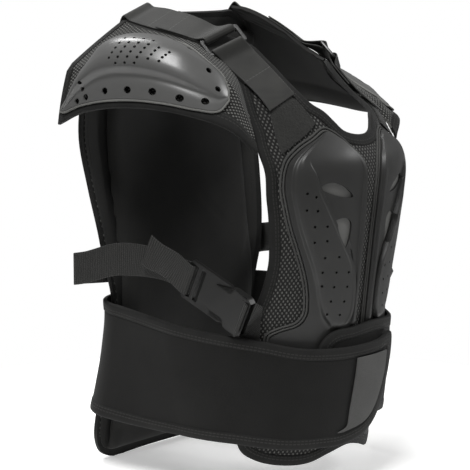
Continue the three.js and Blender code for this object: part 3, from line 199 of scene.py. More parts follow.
backForm = {
    "down": [-0.1, -0.055, 0, 0.1, 0.225, 0.35, 0.47, 0.6, 0.72, 0.84, 1.02],
    "reach": [0.58, 0.7, 0.79, 0.93, 1, 0.965, 0.905, 0.84, 0.88, 0.95, 1.04],
    "bend": [0.4, 0.4, 0.35, 0.25, 0.25, 0.65, 1, 1, 0.9, 0.7, 0.4],
}


def backDepth(z):
    return vest["backReach"] * column(backForm, "down", "reach", -z / drop)


def backShape(x, z):
    turn = vest["backBend"] * column(backForm, "down", "bend", -z / drop)
    return np.stack([-x, backDepth(z) - turn * (x / vest["backHalf"]) ** 4, z + 0 * x], -1)


backPlace = surface(backShape)


def loft(lines, sign):
    # surface through two or three lines, t along them and v across
    curves = [curveThrough(np.array(line) * [sign, 1, 1]) for line in lines]

    def form(t, v):
        spots = [curve(t) for curve in curves]
        v = v[..., None]
        if len(spots) == 2:
            return spots[0] * (1 - v) + spots[1] * v
        rounded = [(1 - v) * (1 - 2 * v), 4 * v * (1 - v), v * (2 * v - 1)]
        straight = [np.maximum(1 - 2 * v, 0), 1 - np.abs(1 - 2 * v), np.maximum(2 * v - 1, 0)]
        k = vest["flapRoundness"]
        return sum(spot * (s * (1 - k) + r * k) for spot, s, r in zip(spots, straight, rounded))

    def place(t, v, lift):
        t, v, lift = np.broadcast_arrays(*(np.asarray(value, float) for value in (t, v, lift)))
        alongT = settle(form(np.minimum(t + 0.01, 1), v)) - settle(form(np.maximum(t - 0.01, 0), v))
        alongV = settle(form(t, v + 0.06)) - settle(form(t, v - 0.06))
        return settle(form(t, v)) + unit(np.cross(alongT, alongV)) * lift[..., None] * sign

    return place


# meshes

def addMesh(name, points, faces, faceUvs, angle=40):
    points, faces, faceUvs = np.array(points, float), np.array(faces), np.array(faceUvs, float)
    a, b, c, d = (points[faces[:, k]] for k in range(4))
    volume = np.sum(a * np.cross(b, c)) + np.sum(a * np.cross(c, d))
    if volume < 0:
        faces, faceUvs = faces[:, ::-1], faceUvs[:, ::-1]
    mesh = bpy.data.meshes.new(name)
    mesh.from_pydata((points / 1000).tolist(), [], faces.tolist())
    mesh.uv_layers.new(name="weave").data.foreach_set("uv", (faceUvs / 1000).ravel())
    mesh.update()
    obj = bpy.data.objects.new(name, mesh)
    bpy.context.collection.objects.link(obj)
    bpy.ops.object.select_all(action="DESELECT")
    obj.select_set(True)
    bpy.context.view_layer.objects.active = obj
    bpy.ops.object.shade_smooth_by_angle(angle=math.radians(angle))
    obj.select_set(False)
    return obj


def gridQuads(rows, columns, start=0):
    corner = (np.arange(rows - 1)[:, None] * columns + np.arange(columns - 1)).ravel() + start
    return np.stack([corner, corner + columns, corner + columns + 1, corner + 1], 1)


def cloth(name, grids, outer, inner, angle=40):
    # a sheet with a wall over welded grids of surface spots; its inner side gets the second material
    spots = np.vstack([grid.reshape(-1, grid.shape[-1]) for grid in grids])
    starts = np.cumsum([0] + [grid.shape[0] * grid.shape[1] for grid in grids])
    quads = np.vstack([gridQuads(*grid.shape[:2], start) for grid, start in zip(grids, starts)])
    keys, first, back = np.unique(np.round(spots[:, :2], 3), axis=0, return_index=True, return_inverse=True)
    spots, quads = spots[first], back.reshape(-1)[quads]
    count = len(spots)
    points = np.vstack([outer(spots), inner(spots)])
    uvs = spots[:, :2]
    edges = {}
    for quad in quads.tolist():
        for start, end in zip(quad, quad[1:] + quad[:1]):
            if edges.pop((end, start), None) is None:
                edges[(start, end)] = True
    rim = np.array([[end, start, count + start, count + end] for start, end in edges])
    faces = np.vstack([quads, quads[:, ::-1] + count, rim])
    obj = addMesh(name, points, faces, np.vstack([uvs, uvs])[faces], angle)
    obj["lined"] = [len(quads), 2 * len(quads)]
    return obj


def band(name, sections, closed, angle=50):
    # a solid through sections with as many points each
    sections = np.array(sections, float)
    count, around = sections.shape[:2]
    middle = sections.mean(1)
    steps = np.linalg.norm(np.diff(np.vstack([middle, middle[:1]]), axis=0), axis=1)
    along = np.concatenate([[0], np.cumsum(steps)])
    girth = np.linalg.norm(np.roll(sections, -1, 1) - sections, axis=2).mean(0)
    across = np.concatenate([[0], np.cumsum(girth)])
    faces, uvs = [], []
    for span in range(count if closed else count - 1):
        here, there = span * around, (span + 1) % count * around
        for k in range(around):
            n = (k + 1) % around
            faces.append([here + k, there + k, there + n, here + n])
            uvs.append([[along[span], across[k]], [along[span + 1], across[k]],
                        [along[span + 1], across[k + 1]], [along[span], across[k + 1]]])
    if not closed:
        for start, turn in ((0, 1), ((count - 1) * around, -1)):
            for k in range(around // 2 - 1):
                cap = [start + k, start + k + 1, start + around - 2 - k, start + around - 1 - k][::turn]
                faces.append(cap)
                uvs.append([[along[-1], across[k]]] * 4)
    return addMesh(name, sections.reshape(-1, 3), faces, uvs, angle)


def refine(grid, rowParts, columnParts):
    # smooth curves through the rows and columns of a coarse grid
    rows, columns = grid.shape[:2]
    down = curveThrough(grid.reshape(rows, -1))(np.linspace(0, 1, (rows - 1) * rowParts + 1))
    down = down.reshape(-1, columns, grid.shape[2]).swapaxes(0, 1)
    across = curveThrough(down.reshape(columns, -1))(np.linspace(0, 1, (columns - 1) * columnParts + 1))
    return across.reshape(-1, down.shape[1], grid.shape[2]).swapaxes(0, 1)


tapeProfile = [(13, -0.1), (12.2, 0.75), (8, 1), (3, 1), (0.9, 0.7), (0, -0.2), (0, -0.8), (0.9, -1.7),
               (3, -2), (8, -2), (12.2, -1.75), (13, -0.9)]  # inset from the edge, and height by face


def tapeAround(name, loop, place, wall, parts=6, stations=None):
    # binding: a folded tape over the edge of a panel
    closed = stations is None
    count = len(loop) if closed else stations
    samples = np.arange(count * parts) if closed else np.arange((count - 1) * parts + 1)
    rings = []
    for distance, height in tapeProfile:
        lift = height * vest["bindingProud"] if height > -0.5 else -wall - 1 - height
        ring = curveThrough(inset(loop, distance), closed=True)(samples / (len(loop) * parts))
        rings.append(place(ring[:, 0], ring[:, 1], lift))
    return band(name, np.stack(rings, 1), closed)


def ribbon(name, left, right, wall, parts=6):
    # webbing through stations that give its two edges
    t = np.linspace(0, 1, (len(left) - 1) * parts + 1)
    left, right = curveThrough(left)(t), curveThrough(right)(t)
    middle, across = (left + right) / 2, (right - left) / 2
    ahead = np.gradient(middle, axis=0)
    up = unit(np.cross(across, ahead)) * wall / 2
    profile = [(-1, -0.35), (-0.97, -0.9), (-0.9, -1), (0, -1), (0.9, -1), (0.97, -0.9), (1, -0.35),
               (1, 0.35), (0.97, 0.9), (0.9, 1), (0, 1), (-0.9, 1), (-0.97, 0.9), (-1, 0.35)]
    sections = [middle + across * a + up * b for a, b in profile]
    return band(name, np.stack(sections, 1), False)


# materials

def linear(colour):
    values = [int(colour[k:k + 2], 16) / 255 for k in (1, 3, 5)]
    return [v / 12.92 if v <= 0.04045 else ((v + 0.055) / 1.055) ** 2.4 for v in values] + [1]


def addNode(tree, kind, inputs=None, **settings):
    node = tree.nodes.new(kind)
    for key, value in settings.items():
        setattr(node, key, value)
    for key, value in (inputs or {}).items():
        if isinstance(value, bpy.types.NodeSocket):
            tree.links.new(value, node.inputs[key])
        else:
            node.inputs[key].default_value = value
    return node


def newMaterial(name, colour, roughness, **sockets):
    material = bpy.data.materials.new(name)
    material.use_nodes = True
    material.diffuse_color = linear(colour)
    tree = material.node_tree
    shader = tree.nodes["Principled BSDF"]
    shader.inputs["Base Color"].default_value = linear(colour)
    shader.inputs["Roughness"].default_value = roughness
    for key, value in sockets.items():
        shader.inputs[key.replace("_", " ")].default_value = value
    return material, tree, shader


def weaveSpots(tree, stepAcross, stepAlong, turn=0.0):
    # weave coordinates, one unit for each step in millimetres
    uv = addNode(tree, "ShaderNodeUVMap", uv_map="weave").outputs["UV"]
    scale = (1000 / stepAcross, 1000 / stepAlong, 1)
    return addNode(tree, "ShaderNodeMapping", {"Vector": uv, "Scale": scale, "Rotation": (0, 0, turn)}).outputs[0]


def blotches(tree, size, low, high):
    # slow change over the piece, about size millimetres across
    spots = addNode(tree, "ShaderNodeTexCoord").outputs["Object"]
    noise = addNode(tree, "ShaderNodeTexNoise", {"Vector": spots, "Scale": 1000 / size, "Detail": 3})
    return addNode(tree, "ShaderNodeMapRange", {"Value": noise.outputs[0], 1: 0.3, 2: 0.7, 3: low, 4: high}).outputs[0]


def mixColours(tree, factor, a, b):
    node = addNode(tree, "ShaderNodeMix", {"Factor": factor}, data_type="RGBA")
    for index, value in ((6, a), (7, b)):
        if isinstance(value, bpy.types.NodeSocket):
            tree.links.new(value, node.inputs[index])
        else:
            node.inputs[index].default_value = linear(value)
    return node.outputs[2]


def bumpInto(tree, shader, height, distance, strength=1.0):
    # distance in millimetres
    bump = addNode(tree, "ShaderNodeBump", {"Height": height, "Distance": distance / 1000, "Strength": strength})
    tree.links.new(bump.outputs[0], shader.inputs["Normal"])


def maths(tree, operation, a, b=0.0, c=0.0):
    return addNode(tree, "ShaderNodeMath", {0: a, 1: b, 2: c}, operation=operation).outputs[0]


meshSettings = {"step": 5, "row": 3.4, "dark": "#181817", "pale": "#646461", "small": 0.17, "wide": 0.36, "depth": 0.9}


def spacerMesh(name, s):
    # polyester spacer mesh, knitted with a staggered field of ovals that catch the light
    material, tree, shader = newMaterial(name, s["dark"], 0.85, Specular_IOR_Level=0.25, Sheen_Weight=0.1, Sheen_Roughness=0.5)
    root = math.sqrt(2)
    spots = weaveSpots(tree, s["step"] / root, s["row"] * root, math.pi / 4)
    ovals = addNode(tree, "ShaderNodeTexVoronoi", {"Vector": spots, "Scale": 1, "Randomness": 0},
                    voronoi_dimensions="2D").outputs["Distance"]
    mask = addNode(tree, "ShaderNodeMapRange", {"Value": ovals, 1: s["small"], 2: s["wide"], 3: 1, 4: 0}).outputs[0]
    pale = mixColours(tree, blotches(tree, 30, 0, 0.35), s["pale"], s["dark"])
    tree.links.new(mixColours(tree, mask, s["dark"], pale), shader.inputs["Base Color"])
    bumpInto(tree, shader, mask, s["depth"])
    return material


stitchSettings = {"pitch": 4.6, "length": 3.1, "width": 1.1}  # drawn coarser than real so that they show


def stitchLine(tree, uv, middle, s):
    # 1 on the stitches of a seam that runs along a tape, middle millimetres across it
    parts = addNode(tree, "ShaderNodeSeparateXYZ", {0: uv})
    along = maths(tree, "FRACT", maths(tree, "MULTIPLY", parts.outputs[0], 1000 / s["pitch"]))
    inStitch = maths(tree, "LESS_THAN", along, s["length"] / s["pitch"])
    off = maths(tree, "ABSOLUTE", maths(tree, "SUBTRACT", parts.outputs[1], middle / 1000))
    return maths(tree, "MULTIPLY", inStitch, maths(tree, "LESS_THAN", off, s["width"] / 2000))


tapeSettings = {"colour": "#121211", "worn": "#191918", "thread": "#2c2c2a", "seams": [3.0, 6.4]}


def bindingTape(name, s):
    # folded polyester tape, a smooth tight weave with a slight sheen
    material, tree, shader = newMaterial(name, s["colour"], 0.75, Specular_IOR_Level=0.25, Sheen_Weight=0.04, Sheen_Roughness=0.4)
    uv = addNode(tree, "ShaderNodeUVMap", uv_map="weave").outputs["UV"]
    stitches = maths(tree, "MAXIMUM", *(stitchLine(tree, uv, seam, stitchSettings) for seam in s["seams"]))
    ground = mixColours(tree, blotches(tree, 18, 0, 1), s["colour"], s["worn"])
    tree.links.new(mixColours(tree, stitches, ground, s["thread"]), shader.inputs["Base Color"])
    weave = addNode(tree, "ShaderNodeTexWave", {"Vector": weaveSpots(tree, 1.6, 1.6), "Scale": 1, "Distortion": 0.4})
    height = maths(tree, "ADD", maths(tree, "MULTIPLY", weave.outputs[1], 0.25), stitches)
    bumpInto(tree, shader, height, 0.25)
    return material


plasticSettings = {
    "plate": {"colour": "#262625", "rough": 0.45, "grain": 0.9},
    "shell": {"colour": "#525251", "rough": 0.33, "grain": 0.7},
    "buckle": {"colour": "#141413", "rough": 0.38, "grain": 0.6},
    "ring": {"colour": "#2a2a29", "rough": 0.3, "grain": 0.5},
    "inset": {"colour": "#646462", "rough": 0.6, "grain": 1.4},
}


def mouldedPlastic(name, s, ior=1.5, **sockets):
    # injection moulded plastic, satin from the fine grain of its mould
    material, tree, shader = newMaterial(name, s["colour"], s["rough"], IOR=ior, **sockets)
    spots = addNode(tree, "ShaderNodeTexCoord").outputs["Object"]
    grain = addNode(tree, "ShaderNodeTexNoise", {"Vector": spots, "Scale": 1000 / s["grain"], "Detail": 2})
    rough = blotches(tree, 22, s["rough"] - 0.04, s["rough"] + 0.06)
    tree.links.new(rough, shader.inputs["Roughness"])
    bumpInto(tree, shader, grain.outputs[0], 0.06)
    return material


webbingSettings = {"colour": "#121211", "pale": "#333331", "rib": 2.6}


def wovenWebbing(name, s):
    # polypropylene webbing, its weft shows as close ribs across the strap
    material, tree, shader = newMaterial(name, s["colour"], 0.62, Specular_IOR_Level=0.35, Sheen_Weight=0.08, Sheen_Roughness=0.4)
    ribs = addNode(tree, "ShaderNodeTexWave", {"Vector": weaveSpots(tree, s["rib"], s["rib"]), "Scale": 0.318,
                                               "Distortion": 0.3}, bands_direction="X").outputs[1]
    warp = addNode(tree, "ShaderNodeTexWave", {"Vector": weaveSpots(tree, s["rib"] * 0.8, s["rib"] * 0.8),
                                               "Scale": 0.318}, bands_direction="Y").outputs[1]
    height = maths(tree, "MULTIPLY", ribs, maths(tree, "ADD", maths(tree, "MULTIPLY", warp, 0.5), 0.5))
    tree.links.new(mixColours(tree, height, s["colour"], s["pale"]), shader.inputs["Base Color"])
    bumpInto(tree, shader, height, 0.5)
    return material


strapSettings = {"colour": "#272726", "pale": "#31312f", "thread": "#474745", "seamEvery": 56}


def flatStrap(name, s):
    # flat woven nylon strap, close twill, with sewn seams across it
    material, tree, shader = newMaterial(name, s["colour"], 0.7, Specular_IOR_Level=0.3, Sheen_Weight=0.1, Sheen_Roughness=0.4)
    twill = addNode(tree, "ShaderNodeTexWave", {"Vector": weaveSpots(tree, 1.5, 1.5, 0.6), "Scale": 0.318}).outputs[1]
    ground = mixColours(tree, blotches(tree, 25, 0, 1), s["colour"], s["pale"])
    woven = mixColours(tree, maths(tree, "MULTIPLY", twill, 0.4), ground, s["pale"])
    parts = addNode(tree, "ShaderNodeSeparateXYZ", {0: weaveSpots(tree, s["seamEvery"], stitchSettings["pitch"])})
    near = maths(tree, "LESS_THAN", maths(tree, "FRACT", parts.outputs[0]), stitchSettings["width"] / s["seamEvery"])
    inStitch = maths(tree, "LESS_THAN", maths(tree, "FRACT", parts.outputs[1]), stitchSettings["length"] / stitchSettings["pitch"])
    seam = maths(tree, "MULTIPLY", near, inStitch)
    tree.links.new(mixColours(tree, seam, woven, s["thread"]), shader.inputs["Base Color"])
    dent = maths(tree, "SUBTRACT", maths(tree, "MULTIPLY", twill, 0.3), near)
    bumpInto(tree, shader, dent, 0.5)
    return material


pileSettings = {
    "belt": {"colour": "#0e0e0d", "pale": "#171716", "fibre": 1.2, "depth": 0.25, "sheen": 0.04},
    "loop": {"colour": "#191918", "pale": "#31312f", "fibre": 1.8, "depth": 0.9, "sheen": 0.1},
    "lining": {"colour": "#222221", "pale": "#2c2c2b", "fibre": 1.4, "depth": 0.12, "sheen": 0.04},
    "cord": {"colour": "#3a3a39", "pale": "#4c4c4a", "fibre": 1.4, "depth": 0.1, "sheen": 0.04},
    "paleCord": {"colour": "#5c5c5a", "pale": "#777774", "fibre": 1.4, "depth": 0.1, "sheen": 0.04},
    "tab": {"colour": "#424241", "pale": "#50504f", "fibre": 1.4, "depth": 0.3, "sheen": 0.06},
}


def brushedPile(name, s):
    # knitted pile cloth, its short fibres scatter the light
    material, tree, shader = newMaterial(name, s["colour"], 0.9, Specular_IOR_Level=0.2, Sheen_Weight=s["sheen"], Sheen_Roughness=0.6)
    spots = addNode(tree, "ShaderNodeTexCoord").outputs["Object"]
    fibres = addNode(tree, "ShaderNodeTexNoise",
                     {"Vector": spots, "Scale": 1000 / s["fibre"], "Detail": 3, "Distortion": 0.6}).outputs[0]
    strands = addNode(tree, "ShaderNodeMapRange", {"Value": fibres, 1: 0.35, 2: 0.7, 3: 0, 4: 1}).outputs[0]
    slow = mixColours(tree, blotches(tree, 40, 0, 0.6), s["colour"], s["pale"])
    tree.links.new(mixColours(tree, maths(tree, "MULTIPLY", strands, 0.6), slow, s["pale"]), shader.inputs["Base Color"])
    bumpInto(tree, shader, fibres, s["depth"])
    return material


finishes = {
    "chestMesh": spacerMesh("knitted spacer mesh", meshSettings),
    "armMesh": spacerMesh("fine spacer mesh", dict(meshSettings, step=4.4, row=3.2, pale="#787874")),
    "tape": bindingTape("folded polyester tape", tapeSettings),
    "cord": brushedPile("covered piping cord", pileSettings["cord"]),
    "paleCord": brushedPile("pale piping cord", pileSettings["paleCord"]),
    "plate": mouldedPlastic("moulded satin polypropylene", plasticSettings["plate"]),
    "shell": mouldedPlastic("painted satin ABS", plasticSettings["shell"], Coat_Weight=0.25, Coat_Roughness=0.3),
    "buckle": mouldedPlastic("moulded acetal", plasticSettings["buckle"], 1.48),
    "ring": mouldedPlastic("moulded nylon", plasticSettings["ring"], 1.53),
    "inset": mouldedPlastic("moulded foam", plasticSettings["inset"]),
    "webbing": wovenWebbing("ribbed polypropylene webbing", webbingSettings),
    "strap": flatStrap("flat woven nylon strap", strapSettings),
    "belt": brushedPile("brushed pile cloth", pileSettings["belt"]),
    "loop": brushedPile("loop pile patch", pileSettings["loop"]),
    "lining": brushedPile("smooth knitted lining", pileSettings["lining"]),
    "tab": brushedPile("hook tape", pileSettings["tab"]),
}
print("materials made")


def dress(obj, finish, slot, *nodes, lining=None):
    obj.data.materials.clear()
    obj.data.materials.append(finishes[finish])
    if lining:
        obj.data.materials.append(finishes[lining])
        first, last = obj["lined"]
        for polygon in obj.data.polygons[first:last]:
            polygon.material_index = 1
    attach(obj, "root")
    if nodes:
        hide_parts(*nodes)
    return obj


# front panel

front = {
    "edge": [0.868, 0.835, 0.893, 0.92, 0.92, 0.913, 0.927, 0.933, 0.92, 0.905, 0.873, 0.847, 0.84, 0.867,
             0.913, 0.967, 0.993, 1, 0.99],
    "edgeDown": [0.05, 0.088, 0.122, 0.153, 0.18, 0.204, 0.229, 0.257, 0.294, 0.339, 0.392, 0.451, 0.49,
                 0.547, 0.592, 0.631, 0.69, 0.785, 0.87],
    "neck": [0.527, 0.46, 0.433, 0.387, 0.3, 0.233, 0.165, 0],
    "neckDown": [0.014, 0.055, 0.104, 0.141, 0.161, 0.184, 0.204, 0.214],
    "middleDown": [0.268, 0.322, 0.385, 0.451, 0.49, 0.547, 0.592, 0.638, 0.7, 0.8, 0.87],
    "hemOut": [0, 0.19, 0.38, 0.58, 0.79, 0.93],
    "hemDown": [0.925, 0.936, 0.953, 0.954, 0.942, 0.918],
    "tuck": 7, "parts": 6, "swell": 0.8,
}
frontHalf = vest["frontHalf"]
frontEdge = np.stack([np.array(front["edge"]) * frontHalf, -np.array(front["edgeDown"]) * drop], 1)
neckEdge = np.stack([np.array(front["neck"]) * frontHalf, -np.array(front["neckDown"]) * drop], 1)
hemEdge = np.stack([np.array(front["hemOut"]) * frontHalf, -np.array(front["hemDown"]) * drop], 1)
mirror = np.array([-1, 1])
frontLoop = np.vstack([frontEdge, hemEdge[::-1], hemEdge[1:] * mirror, frontEdge[::-1] * mirror,
                       neckEdge * mirror, neckEdge[:-1][::-1]])


def makeFront(s):
    loop = inset(frontLoop, s["tuck"])
    edge = loop[:len(frontEdge)]
    hem = loop[len(frontEdge):len(frontEdge) + len(hemEdge)][::-1]
    neckTurn = len(loop) - (len(neckEdge) - 1)
    inner = np.vstack([loop[neckTurn:][::-1], loop[neckTurn - 1],
                       [[0, -down * drop] for down in s["middleDown"]]])
    t = np.linspace(0, 1, len(hemEdge))[None, :, None]
    coarse = np.concatenate([inner[:, None] * (1 - t) + edge[:, None] * t, hem[None]])
    half = refine(coarse, s["parts"], 10)
    half[len(neckEdge[1:]) * s["parts"]:, 0, 0] = 0
    grids = [half, half * mirror]
    grids[1] = grids[1][:, ::-1]

    def outer(spots):
        u, z = spots[:, 0], spots[:, 1]
        ripple = np.sin(u / 17 + np.sin(z / 31)) * np.sin(z / 23 + 1.3 * np.sin(u / 41))
        return frontPlace(u, z, 0.25 * ripple * s["swell"])

    panel = cloth("frontPanel", grids, outer, lambda spots: frontPlace(spots[:, 0], spots[:, 1], -vest["panelWall"]))
    dress(panel, "chestMesh", "spacer_mesh", "front_panel", lining="lining")
    tape = tapeAround("frontBinding", frontLoop, frontPlace, vest["panelWall"])
    dress(tape, "tape", "binding_tape", "front_binding")


makeFront(front)
print("front made")

# chest plates

plateRows = {
    "down": [0.207, 0.222, 0.243, 0.268, 0.29, 0.32, 0.353, 0.402, 0.455, 0.5, 0.535, 0.575, 0.608, 0.63,
             0.643, 0.655, 0.69, 0.745],
    "inner": [0.345, 0.265, 0.2, 0.127, 0.1, 0.093, 0.087, 0.08, 0.077, 0.075, 0.073, 0.073, 0.073, 0.073,
              0.073, 0.073, 0.073, 0.073],
    "outer": [0.375, 0.47, 0.62, 0.735, 0.77, 0.775, 0.75, 0.7, 0.627, 0.567, 0.53, 0.507, 0.51, 0.57,
              0.71, 0.78, 0.76, 0.74],
    "crest": [0.36, 0.4, 0.5, 0.595, 0.565, 0.517, 0.46, 0.366, 0.262, 0.175, 0.145, 0.135, 0.145, 0.185,
              0.24, 0.25, 0.25, 0.25],
    "side": [0.045, 0.045, 0.045, 0.045, 0.045, 0.045, 0.045, 0.045, 0.045, 0.05, 0.055, 0.07, 0.12, 0.23,
             0.37, 0.44, 0.42, 0.4],  # from the outer edge to the foot of the field
    "field": [0.1, 0.3, 0.5, 0.62, 0.8, 0.92, 1, 1, 0.95, 0.9, 0.88, 0.88, 0.88, 0.8, 0.12, 0, 0, 0],
    "valley": [0.1, 0.3, 0.48, 0.58, 0.5, 0.34, 0.25, 0.25, 0.28, 0.3, 0.2, 0.1, 0.06, 0.05, 0.04, 0, 0, 0],
    "groove": [0.1, 0.3, 0.49, 0.59, 0.5, 0.2, 0.02, 0, 0, 0, 0, 0, 0, 0, 0, 0, 0, 0],
}
plateHoles = [(0.62, 0.33), (0.553, 0.338), (0.613, 0.367), (0.533, 0.369), (0.54, 0.404), (0.447, 0.404),
              (0.527, 0.439), (0.433, 0.437), (0.433, 0.475), (0.32, 0.475), (0.44, 0.508), (0.327, 0.51),
              (0.22, 0.512), (0.433, 0.539), (0.333, 0.543), (0.22, 0.545), (0.347, 0.575), (0.233, 0.578),
              (0.367, 0.604), (0.26, 0.608)]
plateVents = [[(0.513, 0.32), (0.42, 0.31), (0.273, 0.329), (0.227, 0.345), (0.36, 0.341)],
              [(0.367, 0.4), (0.293, 0.39), (0.22, 0.402), (0.247, 0.461)]]
plate = {"holeRadius": 1.5, "rowParts": 6, "stepParts": 5, "welt": 1.25, "weltGap": 0.35, "weltStep": 3.3}


def plateGrid(s):
    rows = []
    for k in range(len(plateRows["down"])):
        row = {key: values[k] for key, values in plateRows.items()}
        width = row["outer"] - row["inner"]
        wide = min(width / 0.45, 1)
        middle = (row["inner"] + row["crest"]) / 2 + 0.03
        rim = row["valley"] * 0.4 + row["field"] * 0.6
        foot = row["outer"] - row["side"] * wide
        lip = row["field"] * 1.1 - row["groove"] * 0.1
        steps = [(row["inner"], 0, 0), (row["inner"], 0.014, rim), (row["inner"], 0.034, rim),
                 (row["inner"], 0.05, row["valley"]), (middle, 0, row["valley"]),
                 (row["crest"], -0.05, (row["valley"] + row["groove"]) / 2), (row["crest"], -0.012, row["groove"]),
                 (row["crest"], 0, lip), (row["crest"], 0.02, lip),
                 (row["crest"], 0.035, row["field"]), (foot, -0.025, row["field"] * 0.72), (foot, 0.005, 0),
                 (row["outer"], -0.012, 0), (row["outer"], 0, 0)]
        last = len(steps) - 1
        spots = []
        for n, (start, by, height) in enumerate(steps):
            out = np.clip(start + by * wide, row["inner"] + width * 0.02 * n, row["outer"] - width * 0.02 * (last - n))
            spots.append((out * frontHalf, -row["down"] * drop, vest["plateFoot"] + vest["plateRise"] * height))
        rows.append(spots)
    coarse = np.array(rows)
    count = (len(coarse) - 1) * s["rowParts"] + 1
    dense = curveThrough(coarse.reshape(len(coarse), -1))(np.linspace(0, 1, count)).reshape(count, -1, 3)
    dense[..., 2] = np.maximum(dense[..., 2], vest["plateFoot"])
    at = np.linspace(0, dense.shape[1] - 1, (dense.shape[1] - 1) * s["stepParts"] + 1)
    low = np.minimum(at.astype(int), dense.shape[1] - 2)
    w = (at - low)[None, :, None]
    eased = w * w * (3 - 2 * w)
    grid = dense[:, low] * (1 - w) + dense[:, low + 1] * w
    grid[..., 2] = (dense[:, low] * (1 - eased) + dense[:, low + 1] * eased)[..., 2]
    return coarse, grid


def cutWith(obj, cutters):
    # cuts the joined cutters out of a piece, then removes them
    bpy.ops.object.select_all(action="DESELECT")
    for cutter in cutters:
        cutter.select_set(True)
    bpy.context.view_layer.objects.active = cutters[0]
    bpy.ops.object.join()
    tool = bpy.context.object
    tool.select_set(False)
    obj.select_set(True)
    bpy.context.view_layer.objects.active = obj
    modifier = obj.modifiers.new("cut", "BOOLEAN")
    modifier.operation = "DIFFERENCE"
    modifier.solver = "EXACT"
    modifier.object = tool
    bpy.ops.object.modifier_apply(modifier="cut")
    bpy.data.objects.remove(tool)
    bpy.ops.object.shade_smooth_by_angle(angle=math.radians(35))
    obj.select_set(False)


def drill(low, high, radius, squash=1.0, turn=None, corners=16):
    # a round or oval cutter between two points
    low, high = Vector(low) / 1000, Vector(high) / 1000
    bpy.ops.mesh.primitive_cylinder_add(vertices=corners, radius=radius / 1000, depth=(high - low).length)
    tool = bpy.context.object
    axis = (high - low).normalized()
    side = Vector(turn) if turn is not None else axis.orthogonal()
    side = (side - axis * side.dot(axis)).normalized()
    frameAxes = Matrix((side * squash, axis.cross(side), axis)).transposed().to_4x4()
    tool.data.transform(Matrix.Translation((low + high) / 2) @ frameAxes)
    return tool


def prism(loop, place, low, high):
    sections = np.stack([place(loop[:, 0], loop[:, 1], low), place(loop[:, 0], loop[:, 1], high)])
    around = loop.shape[0]
    points = sections.reshape(-1, 3)
    faces = [[k, (k + 1) % around, around + (k + 1) % around, around + k] for k in range(around)]
    mesh = bpy.data.meshes.new("prism")
    faces += [list(range(around))[::-1], list(range(around, 2 * around))]
    mesh.from_pydata((points / 1000).tolist(), [], faces)
    obj = bpy.data.objects.new("prism", mesh)
    bpy.context.collection.objects.link(obj)
    bpy.ops.object.select_all(action="DESELECT")
    obj.select_set(True)
    bpy.context.view_layer.objects.active = obj
    bpy.ops.object.mode_set(mode="EDIT")
    bpy.ops.mesh.select_all(action="SELECT")
    bpy.ops.mesh.normals_make_consistent(inside=False)
    bpy.ops.object.mode_set(mode="OBJECT")
    return obj


def cordAround(name, loop, place, lift, radius, parts=4, around=8):
    # welt: a covered cord that follows a closed outline
    samples = np.arange(len(loop) * parts) / (len(loop) * parts)
    rings = []
    for k in range(around):
        angle = 2 * math.pi * k / around
        ring = curveThrough(inset(loop, -radius * math.cos(angle)), closed=True)(samples)
        rings.append(place(ring[:, 0], ring[:, 1], lift + radius * math.sin(angle)))
    return band(name, np.stack(rings, 1), True, 80)


def makePlate(side, sign, s):
    coarse, grid = plateGrid(s)
    gap = vest["platesGap"]
    place = lambda u, z, lift: frontPlace(sign * u, z, lift)
    obj = cloth(f"chestPlate_{side}", [grid], lambda spots: place(spots[:, 0], spots[:, 1], gap + spots[:, 2]),
                lambda spots: place(spots[:, 0], spots[:, 1], gap), 35)
    cutters = []
    for out, down in plateHoles:
        u, z = out * frontHalf, -down * drop
        cutters.append(drill(place(u, z, -3), place(u, z, 20), s["holeRadius"]))
    for vent in plateVents:
        loop = curveThrough(np.array(vent) * [frontHalf, -drop], closed=True)(np.arange(30) / 30)
        cutters.append(prism(loop, place, -2, 20))
    cutWith(obj, cutters)
    dress(obj, "plate", "plate_plastic", f"chest_plate_{side}")
    for vent, level in zip(plateVents, ("upper", "lower")):
        loop = curveThrough(np.array(vent) * [frontHalf, -drop], closed=True)(np.arange(30) / 30)
        middle = loop.mean(0)
        t = np.linspace(0.02, 1, 10)[:, None, None]
        fan = middle + (np.vstack([loop, loop[:1]])[None] - middle) * t
        seat = cloth(f"ventInset_{level}_{side}", [fan], lambda spots: place(spots[:, 0], spots[:, 1], gap + 2.2),
                     lambda spots: place(spots[:, 0], spots[:, 1], gap + 0.4))
        dress(seat, "inset", "vent_foam", f"vent_inset_{level}_{side}")
    foot = coarse[-1, 1:-1, :2][::-1]
    rows = np.array(plateRows["down"]) * -drop
    outline = np.vstack([np.stack([np.array(plateRows["outer"]) * frontHalf, rows], 1), foot,
                         np.stack([np.array(plateRows["inner"]) * frontHalf, rows], 1)[::-1]])
    for number, offset in enumerate((s["welt"] + s["weltGap"], s["welt"] + s["weltGap"] + s["weltStep"])):
        welt = cordAround(f"plateWelt{number + 1}_{side}", inset(outline, -offset), place,
                          s["welt"] + 0.3 - 0.5 * number, s["welt"])
        dress(welt, "cord", "piping_cord", *([f"chest_piping_{side}"] if number == 0 else []))


for side, sign in sides:
    makePlate(side, sign, plate)
print("chest plates made")

# back panel and its pad

back = {
    "edge": [0.47, 0.7, 0.9, 0.985, 1, 0.985, 0.945, 0.9, 0.83, 0.82, 0.86, 0.89, 0.875, 0.79, 0.62],
    "edgeDown": [-0.053, -0.02, 0.06, 0.14, 0.22, 0.33, 0.44, 0.53, 0.61, 0.72, 0.83, 0.895, 0.945, 0.985, 1.005],
    "middleDown": [-0.05, -0.008, 0.06, 0.14, 0.22, 0.33, 0.44, 0.53, 0.61, 0.72, 0.83, 0.9, 0.93, 0.96, 1],
    "steps": 10, "tuck": 7,
}
backHalf = vest["backHalf"]


